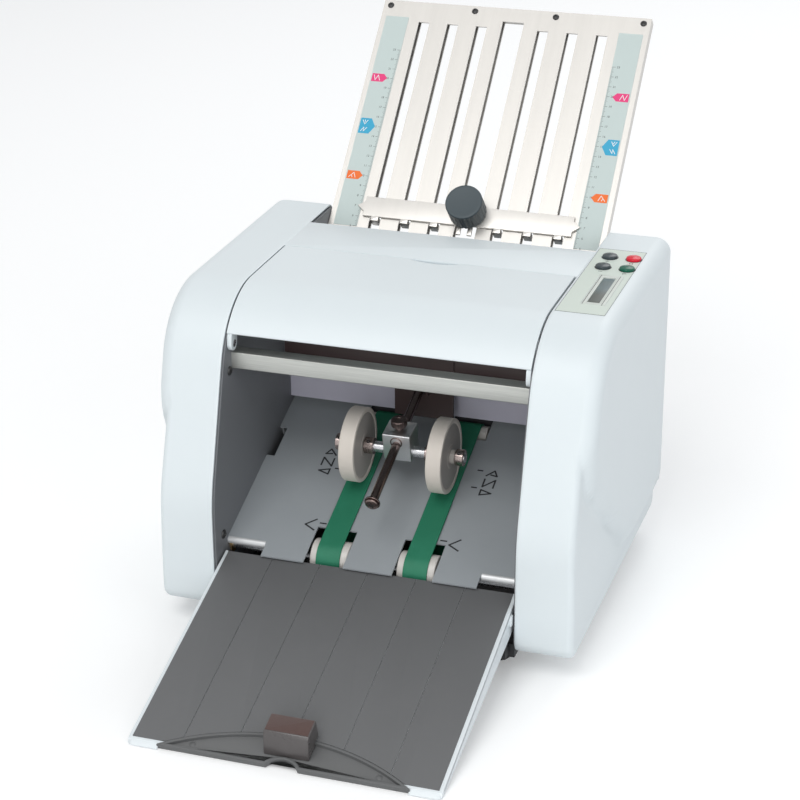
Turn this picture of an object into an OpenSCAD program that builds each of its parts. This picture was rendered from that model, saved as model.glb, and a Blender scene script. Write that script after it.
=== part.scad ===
// Desktop paper folding machine, seen from its delivery side.
// X points right, Y to the rear and Z up. The origin is on the table, under the body.
// Lengths are in millimetres and angles in degrees.

/* [Body] */
// Height of the flat top of the covers
body_top = 277; // [272:1:290]
// Distance from the origin to the front of the covers
body_front = 150; // [149:1:158]
// Distance from the origin to the rear of the covers
body_rear = 148; // [146:1:160]
// Height of the lower edge of the covers
cover_foot = 20; // [18:1:22]
// Lean of the upper front from the vertical
front_lean = 16; // [14:1:17]
// Height at which the front starts to lean
lean_start = 117.6; // [112:0.2:122]
// Half of the width between the two covers
opening_half_w = 128; // [127:0.5:132]
// Width of the lower part of a cover
cover_w = 43; // [42:1:48]
// Outward flare of the covers at the foot
foot_flare = 4; // [1:0.5:6]
// How far the bulge of a cover stands out past its lower part
bulge_out = 11; // [9:1:17]
// Wall of the covers, the lid and the strip
cover_wall = 3; // [2.4:0.1:3.2]
// Rounding of the outer edges of the covers
edge_round = 14; // [10:1:15]
// Thickness of the steel side frames
frame_sheet = 2; // [1.5:0.5:2.5]
// Height of the underside of the base pan
pan_bottom = 14; // [12:1:15]
// Radius of a rubber foot
foot_r = 11; // [8:0.5:14]

/* [Top lid] */
// Depth position of the rear edge of the lid
lid_rear = 26; // [22:1:30]
// Height of the lower front edge of the lid
lid_lip = 247; // [246:0.5:250]
// Gap between the lid and its neighbours
lid_gap = 0.6; // [0.4:0.1:1]
// Depth position of the lid's pivot, forward of the origin
lid_pivot_y = 103; // [102:0.5:104]
// Height of the lid's pivot
lid_pivot_z = 238; // [237:0.5:239]
// Radius of the lid's hinge pins
lid_pin_r = 3; // [2:0.25:3.5]
// Depth position of the rear edge of the strip behind the lid
strip_rear = 89; // [84:1:92]
// Width of the square tie bar across the front
tie_bar_w = 14; // [12:0.5:15]
// Height of the top of the tie bar
tie_bar_top = 228.5; // [227:0.5:229]

/* [Delivery] */
// Distance from the origin to the front edge of the delivery plate
delivery_front = 121.7; // [120.7:0.1:122.7]
// Height of the front edge of the delivery plate
delivery_height = 72.6; // [71.6:0.1:73.6]
// Rise of the delivery plate to the rear
delivery_slope = 20.6; // [20:0.1:21]
// Length of the delivery plate along its slope
delivery_len = 172; // [169:1:175]
// Thickness of the delivery plate
delivery_sheet = 1.5; // [1:0.1:2]
// Reach of the front tabs past the plate's front edge
tab_reach = 15; // [12:0.5:16]
// Sideways position of the two belts
belt_x = 37.2; // [36:0.2:38]
// Width of a delivery belt
belt_w = 21.5; // [18:0.5:24]
// Radius of the front pulleys
front_pulley_r = 14.5; // [13:0.25:15]
// Radius of the rear rollers
rear_roller_r = 9; // [8:0.25:9.5]
// Width of a pulley or a roller under a belt
pulley_w = 32; // [28:0.5:33]

/* [Stacker] */
// Radius of a stacker wheel
wheel_r = 31.5; // [28:0.5:33]
// Width of a stacker wheel
wheel_w = 13; // [10:0.5:14]
// Sideways position of the wheels
wheel_x = 37.4; // [35:0.2:40]
// Place of the wheels along the delivery plate
wheel_along = 91.7; // [88:0.1:95]
// Radius of the axle of the wheels
axle_r = 4; // [3:0.25:4.25]
// Half of the length of the axle
axle_half = 56.5; // [53:0.5:60]
// Radius of the guide rod
rod_r = 3.75; // [3:0.25:4]
// Height of the guide rod's axis over the delivery plate
rod_height = 45.5; // [44.5:0.5:46]
// Place of the rod's pivot along the delivery plate
rod_pivot_along = 156; // [154:0.5:158]
// Lean of the block that carries the axle
block_lean = 12; // [8:1:16]
// Radius of the thumb screw's head
thumb_r = 6.75; // [5:0.25:8]

/* [Delivery tray] */
// Gap between the tray and a side frame
tray_side_gap = 1.5; // [1.5:0.5:6]
// Length of the tray along its slope
tray_len = 209; // [205:1:211]
// Height of the front edge of the tray's top
tray_front_height = 4.29; // [4:0.1:8]
// Height of the rear edge of the tray
tray_height = 64.7; // [64.2:0.1:65.4]
// Radius of the tray's pivot pins
tray_pin_r = 2.5; // [2:0.1:3]
// Width of the white border beside the mat
tray_border = 3; // [2:0.5:12]
// Half of the width of the arched extension
arch_half_w = 101; // [92:1:110]
// Depth of the arch at its middle
arch_rise = 30; // [20:1:32]

/* [Upper fold plate] */
// Depth position of the middle of the scale on the plate
plate_mid_y = 172; // [168:1:176]
// Height of the middle of the scale on the plate
plate_mid_z = 305; // [302:1:310]
// Length of the plate above the middle of the scale
plate_above = 172; // [168:1:180]
// Length of the plate below the middle of the scale
plate_below = 144; // [138:1:146]
// Overall thickness of the fold plate
plate_thick = 9.4; // [8:0.2:10.4]
// Thickness of each sheet
plate_sheet = 1.5; // [1:0.1:2]
// Width of a slot in the plate
slot_w = 10.3; // [9.3:0.1:12]
// Distance between two slots
slot_pitch = 27.35; // [25:0.05:28]
// Width of the middle slot
mid_slot_w = 20; // [16:0.5:22]
// Place of the stop bar's upper edge, below the middle of the scale
stop_bar_drop = 31; // [28:0.5:34]
// Radius of the clamping knob
knob_r = 16.5; // [13:0.5:18]
// Height of the clamping knob
knob_h = 20.5; // [16:0.5:22]

/* [Fold rollers] */
// Distance between the axes of two fold rollers that meet
fold_spacing = 28; // [27.4:0.1:28.6]
// Depth position of the third fold roller
third_roller_y = 60; // [59:0.5:61.5]
// Height of the third fold roller
third_roller_z = 124; // [123:0.5:125]
// Fall of the paper path from the feed table to the first nip
feed_slope = 18; // [17:0.5:19]
// Number of teeth of a fold roller's gear
gear_teeth = 28; // [24:1:32]
// Radius of the roller shafts
shaft_r = 5; // [4:0.25:5.5]
// Radius of the feed roller
feed_roller_r = 18; // [15:0.5:19]
// Length of the feed table along its slope
table_len = 138; // [120:1:150]

/* [Controls] */
// Radius of a push button
button_r = 6.3; // [5:0.1:6.8]
// Sideways distance between two buttons
button_pitch_x = 20.2; // [18:0.2:21]
// Depth distance between two buttons
button_pitch_y = 25; // [20:0.5:28]
// Travel of a push button
button_travel = 1.5; // [1:0.1:2]
// Length of the display's frame
display_len = 67; // [55:1:70]
// Width of the display's frame
display_w = 19.5; // [15:0.5:21]

/* [Hidden] */
$fn = 64;

// Clearances: beside a moving piece, around a turning shaft and beyond a cut
gap = 0.3;
fit = 0.05;
over = 1;

frame_in = opening_half_w - frame_sheet;
column_half_w = opening_half_w + cover_w;
bulge_half_w = column_half_w + bulge_out;
tray_half_w = frame_in - tray_side_gap;
shell_in = opening_half_w - over;
round_start = column_half_w - edge_round;
flare_top = 75;
lean_distance = body_front * cos(front_lean) + lean_start * sin(front_lean);

// Body outline in the YZ plane, as edges [direction of the normal, distance from the origin]
body_edges = [[0, body_rear], [90, body_top], [180 - front_lean, lean_distance], [180, body_front],
    [270, -cover_foot]];
body_radii = [10, 69, 130, 12, 12];

// Bulge outline: the body outline cut off by a diagonal at the lower front
bulge_foot = 44;
bulge_diagonal = 230.5;
bulge_setback = 38.4;
bulge_radii = [10, 69, 60, 40, 14];
bulge_diagonal_slant = 13;

frame_inset = cover_wall;
frame_top = body_top - frame_inset;

// Button and display positions on the right cover
button_x = opening_half_w + 14.7;
button_y = 53.5;
overlay_x = [opening_half_w + 1.5, column_half_w - 1.5];
overlay_y = [-53, 98];
overlay_sheet = 0.6;
overlay_sink = 0.5;
display_x = opening_half_w + 26.75;
display_y = 1.5;
board_x = [opening_half_w + 4, column_half_w - 4];
board_y = [-50, 95];
board_drop = 14;
board_sheet = 1.6;
board_top = body_top - board_drop;

lid_half_w = frame_in - lid_gap;
tie_bar_front = -100;
back_bar = [18, 182];
back_bar_w = 12;
tie_rods = [[140, 80], [-108, 36]];
tie_rod_r = 5;
pan_side_h = 10;
pan_back_h = 40;
pan_front_h = 12;

// Delivery plate outline
plate_cut_x = [20.7, 54.9];
side_tab_x = [55.8, 91.7];
front_cut_len = 25.2;
rear_cut_start = 147;
side_notch = [97, 132];
side_notch_deep = 7;
belt_sheet = 1.2;
belt_over = 2;
front_pulley_along = 6;
rear_roller_along = 160;
delivery_shaft_r = 4;
front_pulley_h = belt_over - belt_sheet - gap - front_pulley_r;
rear_roller_h = belt_over - belt_sheet - gap - rear_roller_r;

// Stacker places, as [along the delivery plate, height over it]
wheel_h = belt_over + gap + wheel_r;
rod_front_along = 20;
block_size = [24, 22, 25];
collar_w = 4.2;
hub_len = 4;
block_centre = [95, 41];
block_axle_drop = wheel_h - block_centre[1];

// Tray places, measured from its rear top edge: along its slope and over its top
tray_rear = -131;
tray_slope = asin((tray_height - tray_front_height) / tray_len);
tray_sheet = 2;
tray_pivot = [-150, 51];
arm_x = [tray_half_w - 7, tray_half_w - 3];
mat_sheet = 0.8;
mat_front_border = 2.5;
tray_nose = 3.5;
tray_foot = 0.4;
extension_drop = 3.6;
extension_sheet = 1.3;
extension_len = 92;
extension_half_w = arch_half_w - 11;
extension_travel = 60;
extension_reach = 2;
arch_top = 1.2;
dish_floor = -1.9;
dish_rim = 2.4;
notch_half_w = 13;
notch_deep = 7;
stop_along = 33 - tray_len;
stop_depth = 17;
stop_height = 18;
stop_half_w = 18;
mat_seam_pitch = 41;
extension_rail_s = [24 - tray_len, 97 - tray_len];

plate_half_w = frame_in - 0.6;
slot_count = 3;
slot_top = 151;
slot_bottom = -90;
slot_first = slot_pitch + 1.35;
stop_bar_h = 19;
stop_bar_half_w = plate_half_w - 30.4;
stop_bar_sheet = 2;
stud_r = 3;
label_x = [plate_half_w - 26.8, plate_half_w - 4.9];
label_s = [-60, 155];
label_sheet = 0.3;
rail_w = 6;
rail_sheet = 3;
rail_s = [-140, -60];
plate_screw_x = [38, plate_half_w - 6.7];
plate_screw_s = 166.5;

function polar(r, a) = r * [cos(a), sin(a)];
third_roller = [third_roller_y, third_roller_z];
second_roller = third_roller + polar(fold_spacing, -4);
first_roller = second_roller + polar(fold_spacing, feed_slope - 90);
fourth_roller = third_roller + polar(fold_spacing, 96);
fold_axes = [first_roller, second_roller, third_roller, fourth_roller];
fold_r = fold_spacing / 2 - 0.1;
roller_half_w = frame_in - 5;
feed_nip = (first_roller + second_roller) / 2;

// Gear teeth: half widths of a tooth at the root and the tip, as shares of the pitch
gear_module = fold_spacing / gear_teeth;
gear_pitch = 360 / gear_teeth;
gear_w = 8;
gear_x = opening_half_w + 1.5;

// Shaft ends on the left, where the belts run in two planes
belt_plane = [opening_half_w + 2.5, opening_half_w + 10];
drive_w = 6;
drive_sheet = 1.5;
drive_r = 8;
motor_pulley_r = 6;
first_drive_r = 12;
left_end = [belt_plane[0] + drive_w, belt_plane[1] + drive_w, belt_plane[0] + drive_w, belt_plane[0]];
left_pulley_r = [first_drive_r, drive_r, drive_r, shaft_r];

// Feed path, measured from the first nip: along its slope and over it
feed_roller_along = 40;
feed_roller_half_w = 35;
table_start = 52;
table_sheet = 2;
table_half_w = frame_in - 14;
guide_x = table_half_w - 6.5;
guide_w = 2;
guide_h = 14;
guide_s = [80, 180];
guide_slot_s = 130;
guide_tab = [8, 10];
guide_travel = 35;
pad_half_w = 20;
pad_s = [28, table_start];
pressure_knob_r = 12;

lower_mouth = [70, 101.5];
lower_len = 165;
lower_thick = 8;
lower_stop_s = -100;
lower_slot_s = [-152, -52];
lower_knob_r = 10;

motor_axis = [110, 48];
motor_r = 22;
motor_x = [28 - opening_half_w, 88 - opening_half_w];
motor_shaft_r = 3;

inlet_x = [-opening_half_w - 32, -opening_half_w - 6];
inlet_z = [58, 84];
switch_z = [92, 118];
rocker_axis = [body_rear - 3, 105];
rocker_tilt = 8;

boss_r = 6;
column_bosses = [[-125, 60], [85, 52]];
bulge_bosses = [[-70, 240], [125, 240]];

function side(x) = x < 0 ? -1 : 1;

// Point where the lines with normals a and b meet, at distances p and q from the origin
function meet(a, p, b, q) = [p * sin(b) - q * sin(a), q * cos(a) - p * cos(b)] / sin(b - a);

// Outline of a convex shape given by its edges, with round corners, drawn in by inset
function outline(edges, radii, inset = 0, steps = 6) = [
    for (i = [0:len(edges) - 1])
        let (next = edges[(i + 1) % len(edges)])
        let (a = edges[i][0], b = next[0] + (next[0] > a ? 0 : 360))
        let (r = max(radii[i] - inset, 1))
        let (centre = meet(a, edges[i][1] - inset - r, b, next[1] - inset - r))
        for (k = [0:steps]) centre + polar(r, a + (b - a) * k / steps)
];

// Edges of the bulge, with its diagonal set back by more
function bulge_edges(more = 0) = [body_edges[0], body_edges[1], body_edges[2],
    [bulge_diagonal, -bulge_setback - more], [270, -bulge_foot]];

// Phase of the next gear that meshes with one of the given phase, in direction a
function mesh_phase(phase, a) = 2 * a + 180 - phase + gear_pitch / 2;
function heading(p, q) = atan2(q[1] - p[1], q[0] - p[0]);
function gear_phase(i) = i == 0 ? 0
    : mesh_phase(gear_phase(i - 1), heading(fold_axes[i - 1], fold_axes[i]));

function on_slope(start, slope, s, h) = start + polar(s, slope) + polar(h, slope + 90);
delivery_start = [-delivery_front, delivery_height];
function delivery_point(s, h) = on_slope(delivery_start, delivery_slope, s, h);
front_shaft = delivery_point(front_pulley_along, front_pulley_h);
rear_shaft = delivery_point(rear_roller_along, rear_roller_h);
rod_pivot = delivery_point(rod_pivot_along, rod_height);
wheel_axis = delivery_point(wheel_along, wheel_h);
feed_axis = on_slope(feed_nip, feed_slope, feed_roller_along, feed_roller_r + gap);

module place(at, slope = 0) translate([0, at[0], at[1]]) rotate([slope, 0, 0]) children();
module on_delivery() place(delivery_start, delivery_slope) children();
module on_tray() place([tray_rear, tray_height], tray_slope) children();
module on_plate() place([plate_mid_y, plate_mid_z], 45) children();
module on_lower() place(lower_mouth, feed_slope) children();
module on_feed() place(feed_nip, feed_slope) children();
module both_sides() for (s = [0, 1]) mirror([s, 0, 0]) children();

// Extrudes a YZ outline from x0 to x1
module along_x(x0, x1) translate([x0, 0, 0]) rotate([90, 0, 90]) linear_extrude(x1 - x0) children();
module rod(r, x0, x1, at = [0, 0]) along_x(x0, x1) translate(at) circle(r);
module block(x, y, z) translate([x[0], y[0], z[0]]) cube([x[1] - x[0], y[1] - y[0], z[1] - z[0]]);
module slab(x, points) along_x(x, x + 0.01) polygon(points);

module base_pan() color("#2b2c2e") {
    wall = 1.5;
    rear = body_rear - 5;
    front = 7 - body_front;
    block([-frame_in, frame_in], [front, rear], [pan_bottom, pan_bottom + 2]);
    both_sides() block([frame_in - wall, frame_in], [front, rear], [pan_bottom, cover_foot + pan_side_h]);
    block([-frame_in, frame_in], [rear - wall, rear], [pan_bottom, cover_foot + pan_back_h]);
    block([-frame_in, frame_in], [front, front + wall], [pan_bottom, pan_bottom + pan_front_h]);
    both_sides() difference() {
        along_x(arm_x[0], arm_x[1]) {
            translate(tray_pivot) circle(5);
            translate(tray_pivot - [4, 34]) square([7, 34]);
            translate(tray_pivot - [4, 34]) square([front + wall - tray_pivot[0] + 4, 8]);
        }
        rod(tray_pin_r + fit, arm_x[0] - over, arm_x[1] + over, tray_pivot);
    }
}

module rubber_feet() color("#222222") both_sides() for (y = [32 - body_front, body_rear - 30])
    translate([frame_in - 21, y, 0]) cylinder(r = foot_r, h = pan_bottom);

// Shafts that turn in the frames, as [axis, radius]
shafts = [for (p = fold_axes) [p, shaft_r], [feed_axis, shaft_r], [front_shaft, delivery_shaft_r],
    [rear_shaft, delivery_shaft_r]];
bush_wall = 2;
screw_places = [[tie_bar_front - 5, tie_bar_top - tie_bar_w - 0.4], [-delivery_front - 8.9, delivery_height + 6.4]];
screw_r = 4;

module side_frame(motor_hole) {
    difference() {
        along_x(frame_in, opening_half_w) polygon(outline(body_edges, body_radii, frame_inset));
        for (s = shafts) rod(s[1] + bush_wall, 0, bulge_half_w, s[0]);
        for (p = screw_places) rod(screw_r / 2, 0, bulge_half_w, p);
        rod(lid_pin_r, 0, bulge_half_w, [-lid_pivot_y, lid_pivot_z]);
        if (motor_hole) rod(motor_shaft_r * 3, 0, bulge_half_w, motor_axis);
    }
    on_plate() {
        back = -plate_thick - gap;
        block([frame_in - rail_w, frame_in], rail_s, [back - rail_sheet, back]);
        foot = -plate_below - gap;
        block([frame_in - rail_w, frame_in], [foot - rail_sheet, foot], [back - rail_sheet, -2]);
        block([frame_in - rail_w, frame_in], [foot - rail_sheet, rail_s[0]], [back - rail_sheet, back]);
    }
}

module left_side_frame() color("#595c5f") mirror([1, 0, 0]) side_frame(true);
module right_side_frame() color("#595c5f") side_frame(false);

module tie_bars() color("#a8a49b") {
    bar_low = tie_bar_top - tie_bar_w;
    block([-frame_in, frame_in], [tie_bar_front, tie_bar_front + tie_bar_w], [bar_low, tie_bar_top]);
    block([-frame_in, frame_in], [back_bar[0], back_bar[0] + back_bar_w],
        [back_bar[1], back_bar[1] + back_bar_w]);
    for (p = tie_rods) rod(tie_rod_r, -frame_in, frame_in, p);
}

module frame_screws() color("#1c1c1d") both_sides() for (p = screw_places) {
    rod(screw_r / 2, frame_in, opening_half_w, p);
    translate([frame_in, p[0], p[1]]) rotate([0, -90, 0]) {
        cylinder(r = screw_r, h = 1);
        translate([0, 0, 1]) cylinder(r1 = screw_r, r2 = screw_r - 1.5, h = 1.2);
    }
}

module frame_bushings() color("#c0994f") both_sides() for (s = shafts) difference() {
    union() {
        rod(s[1] + bush_wall, frame_in - 1.5, opening_half_w + 0.5, s[0]);
        rod(s[1] + bush_wall + 0.8, frame_in - 1.5, frame_in, s[0]);
    }
    rod(s[1] + fit, 0, bulge_half_w, s[0]);
}

// Solid column of a cover, drawn in by its wall for the inner space
module cover_column(x0, inset) hull() {
    r = edge_round - inset;
    slab(x0, outline(body_edges, body_radii, inset));
    for (a = [0, 30, 60, 90]) {
        x = round_start + r * sin(a);
        slab(x, outline(body_edges, body_radii, inset + r * (1 - cos(a))));
    }
    foot_edges = [body_edges[0], [90, flare_top], body_edges[3], body_edges[4]];
    slab(column_half_w + foot_flare - inset, outline(foot_edges, [20, 20, 20, 20], edge_round));
}

// Solid bulge, from the place where the rounding of the column starts
module cover_bulge(inset) hull() {
    r = edge_round - inset;
    slab(round_start, outline(bulge_edges(), bulge_radii, inset));
    for (a = [0:22.5:90]) {
        x = bulge_half_w - edge_round + r * sin(a);
        more = bulge_diagonal_slant * (1 - cos(a));
        slab(x, outline(bulge_edges(more), bulge_radii, inset + r * (1 - cos(a))));
    }
}

module side_cover() {
    difference() {
        union() {
            cover_column(opening_half_w, 0);
            cover_bulge(0);
        }
        cover_column(shell_in, cover_wall);
        cover_bulge(cover_wall);
    }
    for (p = column_bosses) rod(boss_r, opening_half_w, column_half_w + foot_flare - cover_wall + 0.5, p);
    for (p = bulge_bosses) rod(boss_r, opening_half_w, bulge_half_w - cover_wall + 0.5, p);
}

module left_side_cover() color("#dde5ed") difference() {
    mirror([1, 0, 0]) side_cover();
    block(inlet_x, [body_rear - 2 * cover_wall, body_rear + over], inlet_z);
    block(inlet_x, [body_rear - 2 * cover_wall, body_rear + over], switch_z);
}

module right_side_cover() color("#dde5ed") difference() {
    side_cover();
    block(overlay_x, overlay_y, [body_top - overlay_sink, body_top + over]);
    for (p = button_places) translate([p[0], p[1], body_top - 2 * cover_wall])
        cylinder(r = button_r + 0.1, h = 3 * cover_wall);
    display_cut(gap);
}

module display_cut(clear) block(
    [display_x - display_w / 2 - clear, display_x + display_w / 2 + clear],
    [display_y - display_len / 2 - clear, display_y + display_len / 2 + clear],
    [board_top, body_top + over]);

module rear_top_strip() color("#dde5ed") {
    half_w = opening_half_w - 0.2;
    start = lid_rear + lid_gap;
    lip = frame_top - gap;
    block([-half_w, half_w], [start, strip_rear], [frame_top, body_top]);
    block([-lid_half_w, lid_half_w], [strip_rear - cover_wall, strip_rear], [frame_top - 14, frame_top]);
    block([-lid_half_w, lid_half_w], [start, start + 2], [lip - 2.5, frame_top]);
    block([-lid_half_w, lid_half_w], [lid_rear - 9, start + 2], [lip - 2.5, lip]);
}

module top_lid() color("#dde5ed") {
    ear_w = 4;
    pivot = [-lid_pivot_y, lid_pivot_z];
    scoop_r = 36;
    difference() {
        along_x(-lid_half_w, lid_half_w) intersection() {
            difference() {
                polygon(outline(body_edges, body_radii, 0, 12));
                polygon(outline(body_edges, body_radii, cover_wall, 12));
            }
            translate([-body_front, lid_lip]) square([body_front + lid_rear, body_top]);
        }
        translate([6, lid_rear - 5, body_top + scoop_r - 2.2]) rotate([-90, 0, 0])
            cylinder(r = scoop_r, h = 10, $fn = 180);
    }
    both_sides() difference() {
        along_x(lid_half_w - ear_w, lid_half_w) {
            translate(pivot) circle(6);
            polygon([pivot + [-6, 0], pivot + [6, 0], pivot + [9, 22], pivot + [2, 22],
                pivot + [-7.5, lid_lip - lid_pivot_z]]);
        }
        rod(lid_pin_r + fit, 0, opening_half_w, pivot);
    }
}

module hinge_pins() color("#8d8f91") both_sides() {
    pivot = [-lid_pivot_y, lid_pivot_z];
    rod(lid_pin_r, lid_half_w - 4, opening_half_w, pivot);
    rod(lid_pin_r + 2, opening_half_w, opening_half_w + 2, pivot);
}

module inner_back_plate() color("#a9a9b8") {
    front = 30;
    low = 137;
    top = 168;
    block([-frame_in, frame_in], [front, front + 1.5], [low, top]);
    block([-frame_in, frame_in], [front, front + 9], [top - 1.5, top]);
}

module delivery_plate() color("#8e9194") on_delivery() {
    low = -delivery_sheet;
    difference() {
        block([-frame_in, frame_in], [-tab_reach, delivery_len], [low, 0]);
        both_sides() {
            block([plate_cut_x[0], plate_cut_x[1]], [-tab_reach - over, front_cut_len], [low - over, over]);
            block([plate_cut_x[0], plate_cut_x[1]], [rear_cut_start, delivery_len + over], [low - over, over]);
            block([side_tab_x[1], frame_in + over], [-tab_reach - over, 0], [low - over, over]);
            block([frame_in - side_notch_deep, frame_in + over], side_notch, [low - over, over]);
        }
    }
    both_sides() {
        translate([side_tab_x[1], 0, -3]) rotate([0, 90, 0]) difference() {
            cylinder(r = 3, h = frame_in - side_tab_x[1]);
            translate([0, 0, -over]) cylinder(r = 3 - delivery_sheet, h = frame_in + over);
            translate([-4, 0, -over]) cube([8, 4, frame_in]);
        }
        block([frame_in - delivery_sheet, frame_in], [18, side_notch[0] - 3], [-12, 0]);
        block([frame_in - delivery_sheet, frame_in], [side_notch[1] + 3, rear_cut_start + 1], [-12, 0]);
    }
}

module front_delivery_shaft() color("#b9bcc0")
    rod(delivery_shaft_r, -opening_half_w - 1, opening_half_w + 1, front_shaft);

module front_pulleys() color("#eceded") for (x = [-belt_x, belt_x]) difference() {
    rod(front_pulley_r, x - pulley_w / 2, x + pulley_w / 2, front_shaft);
    rod(delivery_shaft_r, x - pulley_w, x + pulley_w, front_shaft);
}

module rear_delivery_rollers() color("#eceded") {
    rod(delivery_shaft_r, -left_end[2], opening_half_w + 1, rear_shaft);
    for (x = [-belt_x, belt_x]) rod(rear_roller_r, x - pulley_w / 2, x + pulley_w / 2, rear_shaft);
    rod(drive_r, -left_end[2], -belt_plane[0], rear_shaft);
}

// Closed band around two round bodies on X axes
module band(x0, width, p, p_r, q, q_r, sheet) along_x(x0, x0 + width) difference() {
    hull() {
        translate(p) circle(p_r + gap + sheet);
        translate(q) circle(q_r + gap + sheet);
    }
    hull() {
        translate(p) circle(p_r + gap);
        translate(q) circle(q_r + gap);
    }
}

module delivery_belts() color("#1c7a55") for (x = [-belt_x, belt_x])
    band(x - belt_w / 2, belt_w, front_shaft, front_pulley_r, rear_shaft, rear_roller_r, belt_sheet);

module wheel_bracket() color("#2e2728") {
    half_w = 26;
    low = 139;
    front = back_bar[0] - 2;
    block([-half_w, half_w], [front, back_bar[0]], [low, back_bar[1] + back_bar_w]);
    both_sides() block([5.3, 7.3], [rod_pivot[0] - 5, back_bar[0]], [rod_pivot[1] - 6, rod_pivot[1] + 6]);
    rod(2.5, -8, 8, rod_pivot);
}

module guide_rod() color("#b4b6b8") {
    eye_r = 6;
    on_delivery() translate([0, 0, rod_height]) rotate([-90, 0, 0]) {
        translate([0, 0, rod_front_along]) cylinder(r = rod_r, h = rod_pivot_along - eye_r + 1 - rod_front_along);
        translate([0, 0, rod_front_along - 1.2]) cylinder(r = rod_r + 3.2, h = 1.2);
        translate([0, 0, rod_front_along - 5]) cylinder(r = rod_r + 1.8, h = 3.8);
    }
    difference() {
        rod(eye_r, -5, 5, rod_pivot);
        rod(2.5 + fit, -6, 6, rod_pivot);
    }
}

module wheel_block() color("#c3c5c7") difference() {
    on_block() translate([0, 0, 0]) cube(block_size, center = true);
    on_delivery() translate([0, 0, rod_height]) rotate([-90, 0, 0])
        cylinder(r = rod_r + fit, h = 2 * rod_pivot_along);
    rod(axle_r, -block_size[0], block_size[0], wheel_axis);
    on_block() cylinder(r = 2 + fit, h = block_size[2]);
}

module on_block() place(delivery_point(block_centre[0], block_centre[1]), block_lean) children();

module thumb_screw() color("#9a9c9e") on_block() {
    top = block_size[2] / 2;
    rod_top = (rod_height - block_centre[1]) / cos(delivery_slope - block_lean) + rod_r;
    translate([0, 0, rod_top + 0.8]) cylinder(r = 2, h = top - rod_top);
    translate([0, 0, top + gap]) cylinder(r = 3.5, h = 3);
    translate([0, 0, top + gap + 3]) cylinder(r = thumb_r, h = 6);
}

module wheel_axle() color("#b9bcc0") {
    rod(axle_r, -axle_half, axle_half, wheel_axis);
    both_sides() for (x = [wheel_x - wheel_w / 2 - gap - collar_w, wheel_x + wheel_w / 2 + hub_len + gap])
        difference() {
            rod(axle_r + 3, x, x + collar_w, wheel_axis);
            rod(axle_r, x - over, x + collar_w + over, wheel_axis);
        }
}

// Wheel with a short hub on its outer side
module stacker_wheel(x) color("#d9d5ca") difference() {
    hub = x + side(x) * (wheel_w / 2 + hub_len);
    union() {
        rod(wheel_r, x - wheel_w / 2, x + wheel_w / 2, wheel_axis);
        rod(axle_r + 2, min(x, hub), max(x, hub), wheel_axis);
    }
    rod(axle_r + fit, x - wheel_w, x + wheel_w, wheel_axis);
}

function tray_point(along, up) = on_slope([tray_rear, tray_height], tray_slope, along, up);

// Front lip of the tray, which runs out and down to the table
tray_front = [tray_point(-tray_len, 0), [tray_point(-tray_len, 0)[0] - tray_nose, tray_foot]];

module tray_shell() color("#e6eaee") {
    wall = 2.5;
    depth = 21;
    difference() {
        union() {
            along_x(-tray_half_w, tray_half_w) polygon(concat([tray_point(0, 0)], tray_front,
                [tray_front[1] + [4.5, 0], tray_point(wall - tray_len, -tray_sheet), tray_point(-0.5, -tray_sheet)]));
            both_sides() along_x(tray_half_w - wall, tray_half_w) polygon(concat([tray_point(0, 0)], tray_front,
                [tray_front[1] + [9.5, 0], tray_point(-25, -depth), tray_point(-8, 3 - depth), tray_point(0, -8)]));
        }
        on_tray() translate([0, 0, -10]) linear_extrude(20) arch(0.4, -over);
    }
    on_tray() both_sides() {
        edge = extension_half_w + 0.5;
        low = -extension_drop - 0.3;
        block([edge, edge + 2.5], extension_rail_s, [low - 1.5, -tray_sheet / 2]);
        block([edge - 4, edge + 2.5], extension_rail_s, [low - 1.5, low]);
    }
    both_sides() {
        rod(tray_pin_r, arm_x[0] - 0.5, tray_half_w - wall + 0.1, tray_pivot);
        rod(5, tray_half_w - wall, tray_half_w + 1.2, tray_pivot);
    }
}

// Segment under an arc at the front of the tray
module arch(grow, front_more) {
    arc_r = (arch_half_w * arch_half_w + arch_rise * arch_rise) / (2 * arch_rise);
    intersection() {
        translate([0, arch_rise - arc_r - tray_len - extension_reach]) circle(arc_r + grow, $fn = 160);
        translate([-arch_half_w - 5, -tray_len - 6]) square([2 * arch_half_w + 10, 2 * arch_rise]);
    }
}

module tray_mat() color("#5c5d5f") on_tray() difference() {
    half_w = tray_half_w - tray_border;
    block([-half_w, half_w], [mat_front_border - tray_len, -1], [0, mat_sheet]);
    translate([0, 0, -over]) linear_extrude(5) arch(0.4, -over);
    for (i = [-2:2]) let (x = i * mat_seam_pitch) block([x - 0.3, x + 0.3], [-tray_len, 0], [mat_sheet - 0.3, mat_sheet + over]);
}

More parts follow.
